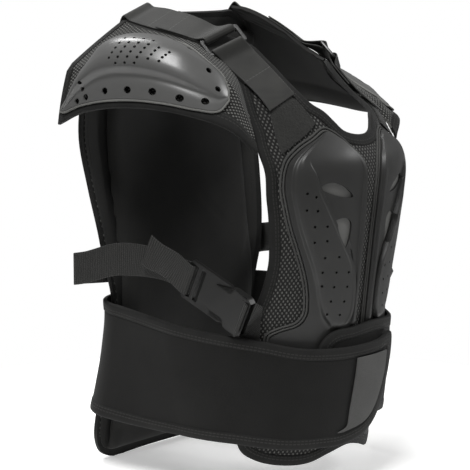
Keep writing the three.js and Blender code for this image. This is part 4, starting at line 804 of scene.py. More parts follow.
def makeBack(s):
    t = np.linspace(-1, 1, s["steps"] + 1)
    lines = []
    for edge, edgeDown, middleDown in zip(s["edge"], s["edgeDown"], s["middleDown"]):
        z = -(middleDown + (edgeDown - middleDown) * t * t) * drop
        lines.append(np.stack([t * edge * backHalf, z], 1))
    middle = lines[1:-1]
    loop = np.vstack([lines[0], [line[-1] for line in middle], lines[-1][::-1], [line[0] for line in middle][::-1]])
    inner = inset(loop, s["tuck"])
    top, count = s["steps"] + 1, len(middle)
    rightEnds, leftEnds = inner[top:top + count], inner[2 * top + count:][::-1]
    coarse = [inner[:top]]
    for line, left, right in zip(middle, leftEnds, rightEnds):
        share = (t + 1) / 2
        middleZ = line[s["steps"] // 2][1]
        coarse.append(np.stack([left[0] + (right[0] - left[0]) * share, middleZ + (right[1] - middleZ) * t * t], 1))
    coarse.append(inner[top + count:2 * top + count][::-1])
    grid = refine(np.array(coarse), 7, 8)
    panel = cloth("backPanel", [grid], lambda spots: backPlace(spots[:, 0], spots[:, 1], 0),
                  lambda spots: backPlace(spots[:, 0], spots[:, 1], -vest["panelWall"]))
    dress(panel, "chestMesh", "spacer_mesh", "back_panel", lining="lining")
    tape = tapeAround("backBinding", loop, backPlace, vest["panelWall"])
    dress(tape, "tape", "binding_tape", "back_binding")


makeBack(back)

pad = {"half": 0.775, "top": -0.01, "foot": 0.985, "gap": 1.6, "edgeWall": 3.5, "crown": 2.5,
       "creaseX": -48, "creaseZ": -222, "creaseReach": 34,
       "voxel": 4.5, "pressure": 4, "frames": 20, "cap": 3, "backCap": 0.4}


def plump(obj, s):
    # swells a pad in a short cloth run, and no point moves further than the cap
    bpy.ops.object.select_all(action="DESELECT")
    obj.select_set(True)
    bpy.context.view_layer.objects.active = obj
    voxels = obj.modifiers.new("voxels", "REMESH")
    voxels.mode = "VOXEL"
    voxels.voxel_size = s["voxel"] / 1000
    bpy.ops.object.modifier_apply(modifier="voxels")
    before = np.empty(len(obj.data.vertices) * 3)
    obj.data.vertices.foreach_get("co", before)
    swell = obj.modifiers.new("swell", "CLOTH")
    swell.settings.use_pressure = True
    swell.settings.uniform_pressure_force = s["pressure"]
    swell.settings.effector_weights.gravity = 0
    for step in range(1, s["frames"] + 1):
        bpy.context.scene.frame_set(step)
    bpy.ops.object.modifier_apply(modifier="swell")
    after = np.empty(len(before))
    obj.data.vertices.foreach_get("co", after)
    before, after = before.reshape(-1, 3), after.reshape(-1, 3)
    moved = after - before
    length = np.linalg.norm(moved, axis=1, keepdims=True)
    moved *= np.minimum(1, s["cap"] / 1000 / np.maximum(length, 1e-9))
    moved[:, 1] = np.minimum(moved[:, 1], s["backCap"] / 1000)  # its rear lies on the panel
    obj.data.vertices.foreach_set("co", (before + moved).ravel())
    obj.data.update()
    finer = obj.modifiers.new("finer", "SUBSURF")
    finer.levels = finer.render_levels = 1
    bpy.ops.object.modifier_apply(modifier="finer")
    bpy.ops.object.shade_smooth_by_angle(angle=math.radians(60))
    bpy.context.scene.frame_set(1)
    obj.select_set(False)
    print("pad plumped, moved at most", round(float(length.max()) * 1000, 1), "mm before the cap")


def makePad(s):
    rows, steps = 150, 90
    r, t = np.meshgrid(np.linspace(0, 1, rows), np.linspace(-1, 1, steps), indexing="ij")
    z = -(s["top"] + (s["foot"] - s["top"]) * r) * drop
    grid = np.stack([t * s["half"] * backHalf, z, r, t], -1)
    start = -vest["panelWall"] - vest["bindingProud"] - s["gap"]

    def inside(spots):
        x, z, r, t = spots.T
        edge = np.minimum((1 - np.abs(t)) * 14, np.minimum(r, 1 - r) * 30)
        wall = s["edgeWall"] + (vest["padWall"] - s["edgeWall"]) * (1 - (1 - np.clip(edge, 0, 1)) ** 2) ** 0.5
        swell = s["crown"] * (1 - t * t) * np.sin(np.pi * r) ** 0.5
        slant = (x - s["creaseX"]) * 0.75 + (z - s["creaseZ"]) * 0.66
        across = -(x - s["creaseX"]) * 0.66 + (z - s["creaseZ"]) * 0.75
        crease = np.exp(-(across / 2.6) ** 2) * np.exp(-(slant / s["creaseReach"]) ** 4)
        waves = 0.7 * np.sin(x / 37 + 1.2 * np.sin(z / 61)) * np.sin(z / 53)
        return backPlace(x, z, start - wall - swell - waves + 2.6 * crease)

    obj = cloth("backPad", [grid], lambda spots: backPlace(spots[:, 0], spots[:, 1], start), inside, 60)
    plump(obj, s)
    dress(obj, "lining", "lining_cloth", "back_pad")


makePad(pad)
print("back made")

# shoulders: yoke, flap with its binding, shell with its rim

yokeTable = {
    "inner": [0.66, 0.67, 0.69, 0.68], "innerBack": [0.67, 0.4, 0.05, -0.3], "innerUp": [0.0635, 0.058, 0.036, 0.004],
    "outer": [0.985, 1, 1, 0.985], "outerBack": [0.74, 0.5, 0.08, -0.27], "outerUp": [0.032, 0.016, 0, -0.022],
}
flapTable = {
    "middle": [0.86, 0.86, 0.873, 0.81, 0.69, 0.63], "middleBack": [0.965, 0.56, 0.08, -0.41, -0.75, -0.95],
    "middleUp": [-0.072, -0.056, -0.043, -0.055, -0.095, -0.2],
    "low": [0.93, 0.98, 1, 0.93, 0.785, 0.645], "lowBack": [0.985, 0.6, 0.04, -0.48, -0.89, -1.02],
    "lowUp": [-0.2, -0.167, -0.149, -0.157, -0.192, -0.245],
}


def lineOf(table, key, reach):
    return np.stack([np.array(table[key]) * reach, np.array(table[f"{key}Back"]) * vest["backReach"],
                     np.array(table[f"{key}Up"]) * drop], 1)


toPanel = [frontShape(out * frontHalf, -down * drop) + [0, 3, 1.5] for out, down in ((0.54, 0.014), (0.85, 0.046))]
yokeInner = np.vstack([lineOf(yokeTable, "inner", vest["shoulderHalf"]), toPanel[0]])
yokeOuter = np.vstack([lineOf(yokeTable, "outer", vest["shoulderHalf"]), toPanel[1]])
yokeEnd = 0.75  # where the straps leave it
flapFront = [(0.0824, -1.6, 1.4), (0.1647, -1, 1.4)]  # down, beyond the front panel and over it in flap walls


def besideFront(down, beyond, over):
    z = -down * drop
    angle = (column(front, "edgeDown", "edge", down) * frontHalf + beyond * vest["flapWall"]) / frontRadius(z)
    up = np.array([math.sin(angle), -math.cos(angle), 0])
    return frontShape(angle * frontRadius(z), z) + up * over * vest["flapWall"]


flapInner = np.vstack([yokeOuter[:-1] + [vest["layerGap"], 0, 0], [besideFront(*row) for row in flapFront]])
flapMiddle = lineOf(flapTable, "middle", vest["flapReach"])
flapLow = lineOf(flapTable, "low", vest["flapReach"])


def evenGrid(lowT, highT, countT, lowV, highV, countV):
    t, v = np.meshgrid(np.linspace(lowT, highT, countT), np.linspace(lowV, highV, countV), indexing="ij")
    return np.stack([t, v], -1)


def unfold(obj):
    # flattens the outer faces into the weave map, then scales the map to real lengths
    count = obj["lined"][0]
    bpy.ops.object.select_all(action="DESELECT")
    obj.select_set(True)
    bpy.context.view_layer.objects.active = obj
    obj.data.polygons.foreach_set("select", np.arange(len(obj.data.polygons)) < count)
    bpy.ops.object.mode_set(mode="EDIT")
    bpy.ops.uv.unwrap(method="CONFORMAL")
    bpy.ops.object.mode_set(mode="OBJECT")
    layer = obj.data.uv_layers["weave"].data
    values = np.empty(len(layer) * 2)
    layer.foreach_get("uv", values)
    flat = values[:count * 8].reshape(count, 4, 2)
    real = sum(polygon.area for polygon in obj.data.polygons[:count])
    a, b = flat[:, 2] - flat[:, 0], flat[:, 3] - flat[:, 1]
    mapped = np.abs(a[:, 0] * b[:, 1] - a[:, 1] * b[:, 0]).sum() / 2
    layer.foreach_set("uv", values * math.sqrt(real / mapped))
    obj.select_set(False)


def makeYoke(side, sign):
    place = loft([yokeInner, yokeOuter], sign)
    grid = evenGrid(0, 1, 120, 0, 1, 30)

    def under(spots):
        t, v = spots[:, 0], spots[:, 1]
        creases = np.exp(-(((v - 0.3 - 0.25 * np.sin(t * 7)) % 0.31 - 0.15) / 0.045) ** 2) * np.sin(t * 9 + v * 4) ** 2
        return place(t, v, -vest["flapWall"] - 1.2 * np.sin(math.pi * v) ** 0.5 + 1.1 * creases)

    obj = cloth(f"yoke_{side}", [grid], lambda spots: place(spots[:, 0], spots[:, 1], 0), under)
    dress(obj, "lining", "lining_cloth", f"shoulder_yoke_{side}")
    return place


def makeFlap(side, place):
    wall = vest["flapWall"]
    tape = vest["bindingWidth"]
    backEdge = tape / np.linalg.norm(place(1, 0.5, 0) - place(0, 0.5, 0)) * 0.8
    reach = lambda t: np.linalg.norm(place(t, 1, 0) - place(t, 0, 0), axis=-1)
    grid = evenGrid(backEdge * 0.5, 1, 110, 0, 1, 44)
    grid[..., 1] *= (1 - 0.5 * tape / reach(grid[:, 0, 0]))[:, None]

    def outer(spots):
        t, v = spots[:, 0], spots[:, 1]
        return place(t, v, 0.5 * np.sin(t * 31) * np.sin(v * 9) * v)

    obj = cloth(f"flap_{side}", [grid], outer, lambda spots: place(spots[:, 0], spots[:, 1], -wall))
    unfold(obj)
    dress(obj, "armMesh", "spacer_mesh", f"shoulder_flap_{side}", lining="lining")
    corner = 1 - tape / reach(backEdge)
    outline = [((0, v), (backEdge, v * corner)) for v in np.linspace(0, 1, 14)]
    outline += [((t, 1), (t, 1 - tape / reach(t))) for t in np.linspace(backEdge * 1.3, 1, 70)]
    sections = []
    for rim, inner in outline:
        rim, inner = np.array(rim), np.array(inner)
        section = []
        for distance, height in tapeProfile:
            lift = height if height > -0.5 else -wall - 1 - height
            spot = rim + (inner - rim) * distance / tape
            section.append(place(spot[0], spot[1], lift))
        sections.append(section)
    edging = band(f"flapBinding_{side}", sections, False)
    dress(edging, "tape", "binding_tape", f"flap_binding_{side}")


shellTable = {
    "along": [0.03, 0.07, 0.125, 0.2, 0.31, 0.45, 0.58, 0.68, 0.75, 0.79],
    "top": [0.88, 0.8, 0.64, 0.4, 0.15, 0.12, 0.2, 0.33, 0.46, 0.6],
    "low": [0.9, 0.925, 0.93, 0.93, 0.93, 0.93, 0.93, 0.92, 0.87, 0.72],
    "rise": [0, 0.14, 0.36, 0.68, 0.98, 1, 0.78, 0.46, 0.2, 0],
}
shellCrown = {
    "across": [0, 0.06, 0.22, 0.42, 0.56, 0.64, 0.675, 0.69, 0.745, 0.76, 0.82, 0.94, 1],
    "crown": [0, 0.1, 0.58, 0.93, 1, 0.95, 0.88, 0.84, 0.4, 0.34, 0.28, 0.1, 0],
}
shell = {
    "smallRadius": 1.6, "welt": 1.3, "steps": (84, 64), "leftShare": 0.8, "drill": 3.4,
    "smallAlong": [0.39, 0.424, 0.459, 0.494, 0.53, 0.566], "smallFrom": [0, 0, 0, 0, 1, 1],
    "smallTo": [5, 6, 6, 6, 5, 5], "smallAcross": [0.45, 0.485, 0.512, 0.542, 0.598, 0.66],
    "smallSlant": -0.0075, "smallTilt": -0.006,
    "rimHoles": [(0.174, 0.92, 3.4), (0.228, 0.92, 3.6), (0.322, 0.905, 3.9), (0.418, 0.905, 4.1),
                 (0.512, 0.9, 4.1), (0.61, 0.91, 4.1), (0.7, 0.86, 3.8), (0.742, 0.55, 3), (0.7, 0.33, 3),
                 (0.6, 0.28, 3), (0.53, 0.24, 2.8), (0.205, 0.77, 2.6), (0.205, 0.69, 2.4)],
}


def mirrorShell(obj, place, s):
    # the left shell: a mirrored copy of the right one, let down with its lower shoulder
    along, across = np.meshgrid(np.linspace(0.02, 0.8, 160), np.linspace(0.05, 1, 80), indexing="ij")
    ground = place(along.ravel(), across.ravel(), 0) * [-1, 1, 1]
    fall = (ground - settle(ground))[:, 2]
    tree = kdtree.KDTree(len(ground))
    for index, spot in enumerate(ground):
        tree.insert(spot, index)
    tree.balance()
    copy = obj.copy()
    copy.data = obj.data.copy()
    copy.name = copy.data.name = obj.name.replace("right", "left")
    bpy.context.collection.objects.link(copy)
    copy.data.transform(Matrix.Diagonal((-1, 1, 1, 1)))
    copy.data.flip_normals()
    for vertex in copy.data.vertices:
        nearest = tree.find_n(vertex.co * 1000, 4)
        weights = np.array([1 / (distance + 0.5) for spot, index, distance in nearest])
        weights /= weights.sum()
        indices = [index for spot, index, distance in nearest]
        foot = Vector(weights @ ground[indices])
        drawn = foot + (vertex.co * 1000 - foot) * s["leftShare"] - Vector((0, 0, weights @ fall[indices]))
        vertex.co = drawn / 1000
    return copy


def makeShell(side, place, s):
    base = lambda across: 0.5 + 1.2 * smoothstep(across, 0.72, 0.88)  # clear of the flap and of its binding
    vAt = lambda along, across: (column(shellTable, "along", "top", along) * (1 - across)
                                 + column(shellTable, "along", "low", along) * across)

    def rise(along, across):
        height = vest["shellRise"] * column(shellTable, "along", "rise", along)
        return base(across) + height * column(shellCrown, "across", "crown", across)

    if side == "right":
        grid = evenGrid(0.03, 0.79, s["steps"][0], 0, 1, s["steps"][1])
        spot = lambda spots, lift: place(spots[:, 0], vAt(spots[:, 0], spots[:, 1]), rise(spots[:, 0], spots[:, 1]) + lift)
        obj = cloth(f"shoulderShell_{side}", [grid], lambda spots: spot(spots, vest["shellWall"]),
                    lambda spots: spot(spots, 0), 35)
        cutters = []

        def hole(along, across, radius, squash, corners):
            near = [np.array([[along + a, across + b]]) for a, b in ((0, 0), (0.01, 0), (0, 0.01))]
            middle, ahead, below = (spot(spots, 1)[0] for spots in near)
            up = unit(np.cross(ahead - middle, below - middle))
            cutters.append(drill(middle - up * s["drill"], middle + up * s["drill"], radius, squash, ahead - middle, corners))

        for line, (along, first, last) in enumerate(zip(s["smallAlong"], s["smallFrom"], s["smallTo"])):
            for row in range(first, last):
                across = s["smallAcross"][row] + s["smallTilt"] * (line - 2)
                hole(along + s["smallSlant"] * row, across, s["smallRadius"], 1.15, 12)
        for along, across, radius in s["rimHoles"]:
            hole(along, across, radius, 1.2, 24)
        cutWith(obj, cutters)
        dress(obj, "shell", "shell_plastic", "shoulder_shell_right")
        left = mirrorShell(obj, place, s)
        dress(left, "shell", "shell_plastic", "shoulder_shell_left")
    ends = [(0.03, across) for across in np.linspace(1, 0, 4)] + [(a, 0) for a in shellTable["along"][1:-1]]
    ends += [(0.79, across) for across in np.linspace(0, 1, 4)] + [(a, 1) for a in shellTable["along"][1:-1][::-1]]
    curve = curveThrough(np.array(ends), closed=True)(np.arange(240) / 240)
    curve = np.clip(curve, [0.03, 0], [0.79, 1])
    level = base(curve[:, 1]) + s["welt"] - 0.2
    middle = place(curve[:, 0], vAt(curve[:, 0], curve[:, 1]), level)
    over = place(curve[:, 0], vAt(curve[:, 0], curve[:, 1]), level + 1)
    up = unit(over - middle)
    ahead = unit(np.roll(middle, -2, 0) - np.roll(middle, 2, 0))
    out = np.cross(ahead, up)
    centre = middle.mean(0)
    out *= np.sign(np.sum(out * (middle - centre), 1))[:, None]
    middle = middle + out * s["welt"]
    rings = [middle + s["welt"] * (out * math.cos(a) + up * math.sin(a)) for a in np.linspace(0, 2 * math.pi, 9)[:-1]]
    welt = band(f"shellWelt_{side}", np.stack(rings, 1), True, 80)
    dress(welt, "paleCord", "piping_cord")


# straps and rings

def frontStrapStation(sign, t, lift):
    at = lambda a, b: a + (b - a) * t
    left = frontPlace(sign * at(0.543, 0.507) * frontHalf, -at(0.0155, 0.129) * drop, lift)
    right = frontPlace(sign * at(0.85, 0.745) * frontHalf, -at(0.048, 0.16) * drop, lift)
    return webStation((left + right) / 2, right - left)


def webStation(middle, across):
    half = unit(across) * vest["strapWidth"] / 2
    return middle - half, middle + half


def barTurn(axes, barMiddle, radius, forwards, steps=5):
    middle = axes["middle"] + axes["along"] * barMiddle
    turn = []
    for angle in np.linspace(0, math.pi, steps + 1):
        spot = middle - axes["out"] * radius * math.cos(angle) + axes["along"] * forwards * radius * math.sin(angle)
        turn.append(webStation(spot, axes["across"]))
    return turn


ring = {"width": 49, "length": 26, "bar": 4.5, "wall": 3.4, "stand": 9.5}


def ringAxes(sign, yokePlace):
    left, right = frontStrapStation(sign, 0, 0)
    across = unit(right - left)
    front, rear = (left + right) / 2, yokePlace(yokeEnd, 0.5, 0)
    along = rear - front
    along = unit(along - across * np.dot(along, across))
    out = np.cross(across, along)
    out *= np.sign(out[2])
    return {"middle": (front + rear) / 2 + out * ring["stand"], "across": across, "along": along, "out": out}


def setIn(obj, axes):
    # from its own axes in metres to its place
    matrix = Matrix([list(axes[key]) for key in ("across", "along", "out")]).transposed().to_4x4()
    matrix.translation = Vector(axes["middle"]) / 1000
    obj.data.transform(matrix)
    if matrix.determinant() < 0:
        obj.data.flip_normals()


def finishHard(obj, bevel, segments=3):
    bpy.ops.object.select_all(action="DESELECT")
    obj.select_set(True)
    bpy.context.view_layer.objects.active = obj
    edges = obj.modifiers.new("edges", "BEVEL")
    edges.width = bevel / 1000
    edges.segments = segments
    edges.limit_method = "ANGLE"
    edges.angle_limit = math.radians(35)
    bpy.ops.object.modifier_apply(modifier="edges")
    bpy.ops.object.shade_smooth_by_angle(angle=math.radians(35))
    obj.select_set(False)


def block(name, low, high):
    # a box between two corners, in millimetres
    low, high = Vector(low) / 1000, Vector(high) / 1000
    bpy.ops.object.select_all(action="DESELECT")
    bpy.ops.mesh.primitive_cube_add(size=1)
    obj = bpy.context.object
    obj.name = name
    obj.data.name = name
    obj.data.transform(Matrix.Translation((low + high) / 2) @ Matrix.Diagonal((*(high - low), 1)))
    return obj


def pickFaces(obj, test):
    bpy.ops.object.mode_set(mode="OBJECT")
    for polygon in obj.data.polygons:
        polygon.select = test(polygon.center * 1000, polygon.normal)
    bpy.ops.object.mode_set(mode="EDIT")


def roundCorners(obj, radius, segments, test):
    # bevels the upright edges that the test picks
    bpy.ops.object.mode_set(mode="EDIT")
    bpy.ops.mesh.select_mode(type="EDGE")
    bpy.ops.mesh.select_all(action="DESELECT")
    bpy.ops.object.mode_set(mode="OBJECT")
    points = obj.data.vertices
    for edge in obj.data.edges:
        a, b = (points[k].co * 1000 for k in edge.vertices)
        edge.select = abs(a.x - b.x) < 0.01 and abs(a.y - b.y) < 0.01 and test((a + b) / 2)
    bpy.ops.object.mode_set(mode="EDIT")
    bpy.ops.mesh.bevel(offset=radius / 1000, segments=segments, affect="EDGES")
    bpy.ops.mesh.select_mode(type="FACE")
    bpy.ops.object.mode_set(mode="OBJECT")


def makeRing(side, axes, s):
    half, reach, wall, bar = s["width"] / 2, s["length"] / 2, s["wall"] / 2, s["bar"]
    obj = block(f"strapRing_{side}", (-half, -reach, -wall), (half, reach, wall))
    roundCorners(obj, 3.5, 4, lambda p: True)
    window = block("window", (bar - half, bar - reach, -6), (half - bar, reach - bar, 6))
    roundCorners(window, 1.2, 3, lambda p: True)
    cutWith(obj, [window])
    finishHard(obj, 1.0)
    setIn(obj, axes)
    dress(obj, "ring", "ring_plastic", f"strap_ring_{side}")


def makeShoulderStraps(side, sign, yokePlace, axes):
    wall = vest["strapWall"]
    bar = (ring["length"] - ring["bar"]) / 2
    turn = math.hypot(ring["bar"], ring["wall"]) / 2 + wall
    near = vest["layerGap"] + wall / 2
    under = vest["bindingProud"] + vest["layerGap"] + wall
    over = under + vest["layerGap"] + wall
    stations = [frontStrapStation(sign, t, under) for t in (0.5, 0.3, 0.12)]
    stations += barTurn(axes, -bar, turn, 1)
    stations += [frontStrapStation(sign, t, over) for t in (0.12, 0.25, 0.4, 0.55, 0.7, 0.85, 1)]
    left, right = zip(*stations)
    obj = ribbon(f"frontStrap_{side}", left, right, wall)
    dress(obj, "strap", "flat_strap", f"shoulder_strap_front_{side}")

    def yokeStation(t, lift):
        t = t * yokeEnd
        return webStation(yokePlace(t, 0.5, lift), yokePlace(t, 1, lift) - yokePlace(t, 0, lift))

    def backStation(up, lift):
        left = backPlace(-sign * 0.48 * backHalf, up * drop, lift)
        right = backPlace(-sign * 0.7 * backHalf, (up - 0.034) * drop, lift)
        return webStation((left + right) / 2, right - left)

    stations = [backStation(-0.056, under), backStation(-0.006, under), backStation(0.03, under + wall),
                yokeStation(0, under + wall)]
    stations += [yokeStation(t, near) for t in (0.1, 0.2, 0.3, 0.45, 0.6, 0.75, 0.88)]
    stations += barTurn(axes, bar, turn, -1)
    stations += [yokeStation(t, near + vest["layerGap"] + wall) for t in (0.88, 0.75, 0.6, 0.48)]
    left, right = zip(*stations)
    obj = ribbon(f"backStrap_{side}", left, right, wall)
    dress(obj, "strap", "flat_strap", f"shoulder_strap_back_{side}")


patch = {"lowOut": [0.77, 0.64, 0.5, 0.42], "lowDown": [0.249, 0.228, 0.204, 0.186],
         "topOut": [0.735, 0.66, 0.585, 0.515], "topDown": [0.118, 0.111, 0.104, 0.13], "wall": 1.5}


def makePatch(side, sign, s):
    low = np.stack([np.array(s["lowOut"]) * frontHalf * sign, -np.array(s["lowDown"]) * drop], 1)
    top = np.stack([np.array(s["topOut"]) * frontHalf * sign, -np.array(s["topDown"]) * drop], 1)
    t = np.linspace(0, 1, 5)[None, :, None]
    grid = refine(low[:, None] * (1 - t) + top[:, None] * t, 12, 12)
    gap = vest["platesGap"]

    def outer(spots):
        u, z = spots[:, 0], spots[:, 1]
        fuzz = 0.35 * np.sin(u * 2.1 + 3 * np.sin(z * 1.7)) * np.sin(z * 2.3 + 2 * np.sin(u * 1.9))
        return frontPlace(u, z, gap + s["wall"] + fuzz)

    obj = cloth(f"loopPatch_{side}", [grid], outer, lambda spots: frontPlace(spots[:, 0], spots[:, 1], gap), 80)
    dress(obj, "loop", "loop_pile", f"loop_patch_{side}")


for side, sign in sides:
    makePatch(side, sign, patch)
    yokePlace = makeYoke(side, sign)
    axes = ringAxes(sign, yokePlace)
    makeRing(side, axes, ring)
    makeShoulderStraps(side, sign, yokePlace, axes)
    flapPlace = loft([flapInner, flapMiddle, flapLow], sign)
    makeFlap(side, flapPlace)
    makeShell(side, flapPlace, shell)
print("shoulders made")

# belt

belt = {
    "share": [0, 0.28, 0.45, 0.71, 0.84, 1, 1.15], "top": [0.6, 0.607, 0.622, 0.655, 0.678, 0.682, 0.67],
    "height": [1.05, 1.1, 1.1, 1.01, 0.95, 0.93, 0.94],
    "ends": {"right": {"down": [0, 0.43, 0.75, 0.92, 1], "share": [1.1, 1.09, 1.065, 1.025, 0.95]},
             "left": {"down": [0, 0.1, 0.5, 0.9, 1], "share": [1.09, 1.12, 1.13, 1.12, 1.09]}},
    "underlap": {"share": [0.7, 0.93, 1.06, 1.13], "rise": [0, 0.045, 0.034, 0.014]},
    "stations": [0, 0.11, 0.2, 0.235, 0.27, 0.305, 0.34, 0.44, 0.53, 0.6, 0.67, 0.74, 0.81, 0.88, 0.94, 1],
    "tabStart": 0.955, "tabWall": 1.5, "tabInset": 3,
}
beltStand = vest["plateFoot"] + 3 * vest["layerGap"] + vest["strapWall"]
backEdges = {"edge": back["edge"], "edgeDown": back["edgeDown"]}


def beltParts(z):
    cornerX = backHalf * column(backEdges, "edgeDown", "edge", -z / drop) - vest["cornerInset"]
    cornerY = backDepth(z) + vest["bindingProud"] + 2 * vest["layerGap"] - vest["beltCorner"]
    radius = frontRadius(z)
    return cornerX, cornerY, radius - frontForward(z), radius + beltStand


def beltShape(sign):
    corner = vest["beltCorner"]
    turnLength = math.pi / 2 * corner

    def form(along, z):
        cornerX, cornerY, frontY, radius = beltParts(z)
        sideLength = cornerY - frontY
        a1 = (along - cornerX) / corner
        share = (along - cornerX - turnLength) / sideLength
        a2 = math.pi / 2 - (along - cornerX - turnLength - sideLength) / radius
        zones = [along <= cornerX, along <= cornerX + turnLength, share <= 1]
        x = np.select(zones, [along, cornerX + corner * np.sin(a1),
                              cornerX + corner + (radius - cornerX - corner) * share], radius * np.sin(a2))
        y = np.select(zones, [cornerY + corner + 0 * along, cornerY + corner * np.cos(a1),
                              cornerY - sideLength * share], frontY - radius * np.cos(a2))
        return np.stack([sign * x, y, z + 0 * along], -1)

    return form


def makeBelt(side, sign, s):
    middleZ = -0.75 * drop
    cornerX, cornerY, frontY, radius = (float(value) for value in beltParts(middleZ))
    halfLoop = cornerX + math.pi / 2 * (vest["beltCorner"] + radius) + cornerY - frontY
    overlap = side == "right"
    end, wall = s["ends"][side], vest["beltWall"]
    plain = surface(beltShape(sign))
    proud, gap = vest["bindingProud"], vest["layerGap"]

    def place(along, z, lift):
        over = (wall + 2 * proud + 3 * gap) * smoothstep(along / halfLoop, 0.7, 0.84) if overlap else 0
        return plain(along, z, -sign * (proud + over + lift))

    def spotAt(station, down):
        share = column(end, "down", "share", down) * station
        rise = 0 if overlap else column(s["underlap"], "share", "rise", share)
        top = -(column(s, "share", "top", share) - rise) * drop
        return np.stack([share * halfLoop, top - column(s, "share", "height", share) * vest["beltHeight"] * down], -1)

    stations, downs = np.array(s["stations"]), np.array(end["down"])
    run = np.vstack([spotAt(stations, 0.0 * stations), spotAt(np.ones(len(downs) - 2), downs[1:-1]),
                     spotAt(stations[::-1], np.ones(len(stations)))])
    before = -vest["bindingWidth"] * 3
    loop = np.vstack([run, [before, run[-1][1]], [before, run[0][1]]])
    outward = lambda along, z, lift: place(along, z, lift + wall)
    tape = tapeAround(f"beltBinding_{side}", loop, outward, wall, stations=len(run))
    dress(tape, "tape", "binding_tape", f"belt_binding_{side}")

    st, dn = np.meshgrid(np.linspace(0, 0.985, 150), np.linspace(0.05, 0.95, 34), indexing="ij")
    grid = spotAt(st.ravel(), dn.ravel()).reshape(*st.shape, 2)
    grid[..., 0] = np.maximum(grid[..., 0], 0.3)

    def outer(spots):
        a, z = spots[:, 0], spots[:, 1]
        waves = 0.5 * np.sin(a / 43 + 1.1 * np.sin(z / 27)) * np.sin(z / 33)
        return outward(a, z, waves)

    body = cloth(f"beltWing_{side}", [grid], outer, lambda spots: place(spots[:, 0], spots[:, 1], 0))
    dress(body, "belt", "belt_cloth", f"belt_wing_{side}")
    if not overlap:
        return
    inner = inset(loop, vest["bindingWidth"] + s["tabInset"])
    last, count = len(stations) - 1, len(downs)
    endLine = inner[last:last + count]
    startZ = endLine[0, 1] + (endLine[-1, 1] - endLine[0, 1]) * downs
    start = np.minimum(s["tabStart"] * halfLoop, endLine[:, 0] - vest["bindingWidth"] / 2)
    t = np.linspace(0, 1, 4)[:, None, None]
    coarse = np.stack([start, startZ], 1)[None] * (1 - t) + endLine[None] * t
    tabGrid = refine(coarse, 8, 8)
    lift = vest["platesGap"]
    tab = cloth("hookTab", [tabGrid], lambda spots: outward(spots[:, 0], spots[:, 1], lift + s["tabWall"]),
                lambda spots: outward(spots[:, 0], spots[:, 1], lift))
    dress(tab, "tab", "hook_tab", "hook_tab")


for side, sign in sides:
    makeBelt(side, sign, belt)
print("belt made")

# side straps and buckles

sideStrap = {
    "route": [(0.6, 0.885, 0.539, 0), (0.79, 0.865, 0.537, 0), (0.985, 0.945, 0.535, 0), (1.085, 0.925, 0.533, 0),
              (1.07, 0.8, 0.527, 0), (1.02, 0.48, 0.503, 0), (0.98, 0.28, 0.5, 5), (0.96, 0.08, 0.503, 25),
              (0.94, -0.15, 0.513, 42)],
    "tail": [(0.98, -0.16, 0.5, 44), (1.005, 0, 0.484, 34), (1.02, 0.08, 0.47, 25)],
    "end": (0.88, -0.965, 0.604), "aim": (-0.08, -0.9, -0.436), "lean": 58, "leftDrawn": 15, "leftFrom": 0.5,
}
buckle = {"width": 49, "wall": 9, "female": 50, "male": 38, "bar": 5, "slot": 6.5, "prong": 8, "reach": 22, "fit": 0.5}


def routeSpot(sign, out, backShare, down):
    drawn = 0
    if sign > 0:
        drawn = sideStrap["leftDrawn"] * float(smoothstep(sideStrap["leftFrom"] - backShare, 0, sideStrap["leftFrom"]))
    return np.array([sign * out * backHalf, backShare * vest["backReach"] + drawn, -down * drop])


def leanAcross(lean):
    return np.array([0, -math.sin(math.radians(lean)), math.cos(math.radians(lean))])


def buckleAxes(sign, s):
    along = unit(np.array(s["aim"]) * [sign, 1, 1])
    middle = routeSpot(sign, *s["end"]) - along * (buckle["male"] + buckle["fit"] + buckle["female"])
    across = leanAcross(s["lean"])
    across = unit(across - along * np.dot(across, along))
    out = np.cross(across, along)
    out *= np.sign(out[0]) * sign
    return {"middle": middle, "along": along, "across": across, "out": out}


def makeMale(side, axes, s):
    # ladder end with two slots and two sprung prongs
    half, wall, bar, slot = s["width"] / 2, s["wall"] * 0.275, s["bar"], s["slot"]
    obj = block(f"buckleMale_{side}", (-half, -bar / 2, -wall), (half, s["male"], wall))
    bpy.ops.object.mode_set(mode="EDIT")
    for x in (half - s["prong"], s["prong"] - half):
        bpy.ops.mesh.select_all(action="SELECT")
        bpy.ops.mesh.bisect(plane_co=(x / 1000, 0, 0), plane_no=(1, 0, 0))
    pickFaces(obj, lambda p, n: n.y > 0.9 and abs(p.x) > half - s["prong"])
    bpy.ops.mesh.extrude_region_move(TRANSFORM_OT_translate={"value": (0, s["reach"] * 0.75 / 1000, 0)})
    bpy.ops.mesh.extrude_region_move(TRANSFORM_OT_translate={"value": (0, s["reach"] * 0.25 / 1000, 0)})
    bpy.ops.transform.resize(value=(0.9, 1, 0.8))
    bpy.ops.object.mode_set(mode="OBJECT")
    roundCorners(obj, 3, 4, lambda p: p.y < 0)
    slotHalf = vest["strapWidth"] / 2 + 1.2
    windows = []
    for low in (bar / 2, bar * 1.5 + slot):
        window = block("slot", (-slotHalf, low, -8), (slotHalf, low + slot, 8))
        roundCorners(window, 1, 3, lambda p: True)
        windows.append(window)
    cutWith(obj, windows)
    finishHard(obj, 0.7)
    setIn(obj, axes)
    dress(obj, "buckle", "buckle_plastic", f"buckle_male_{side}")


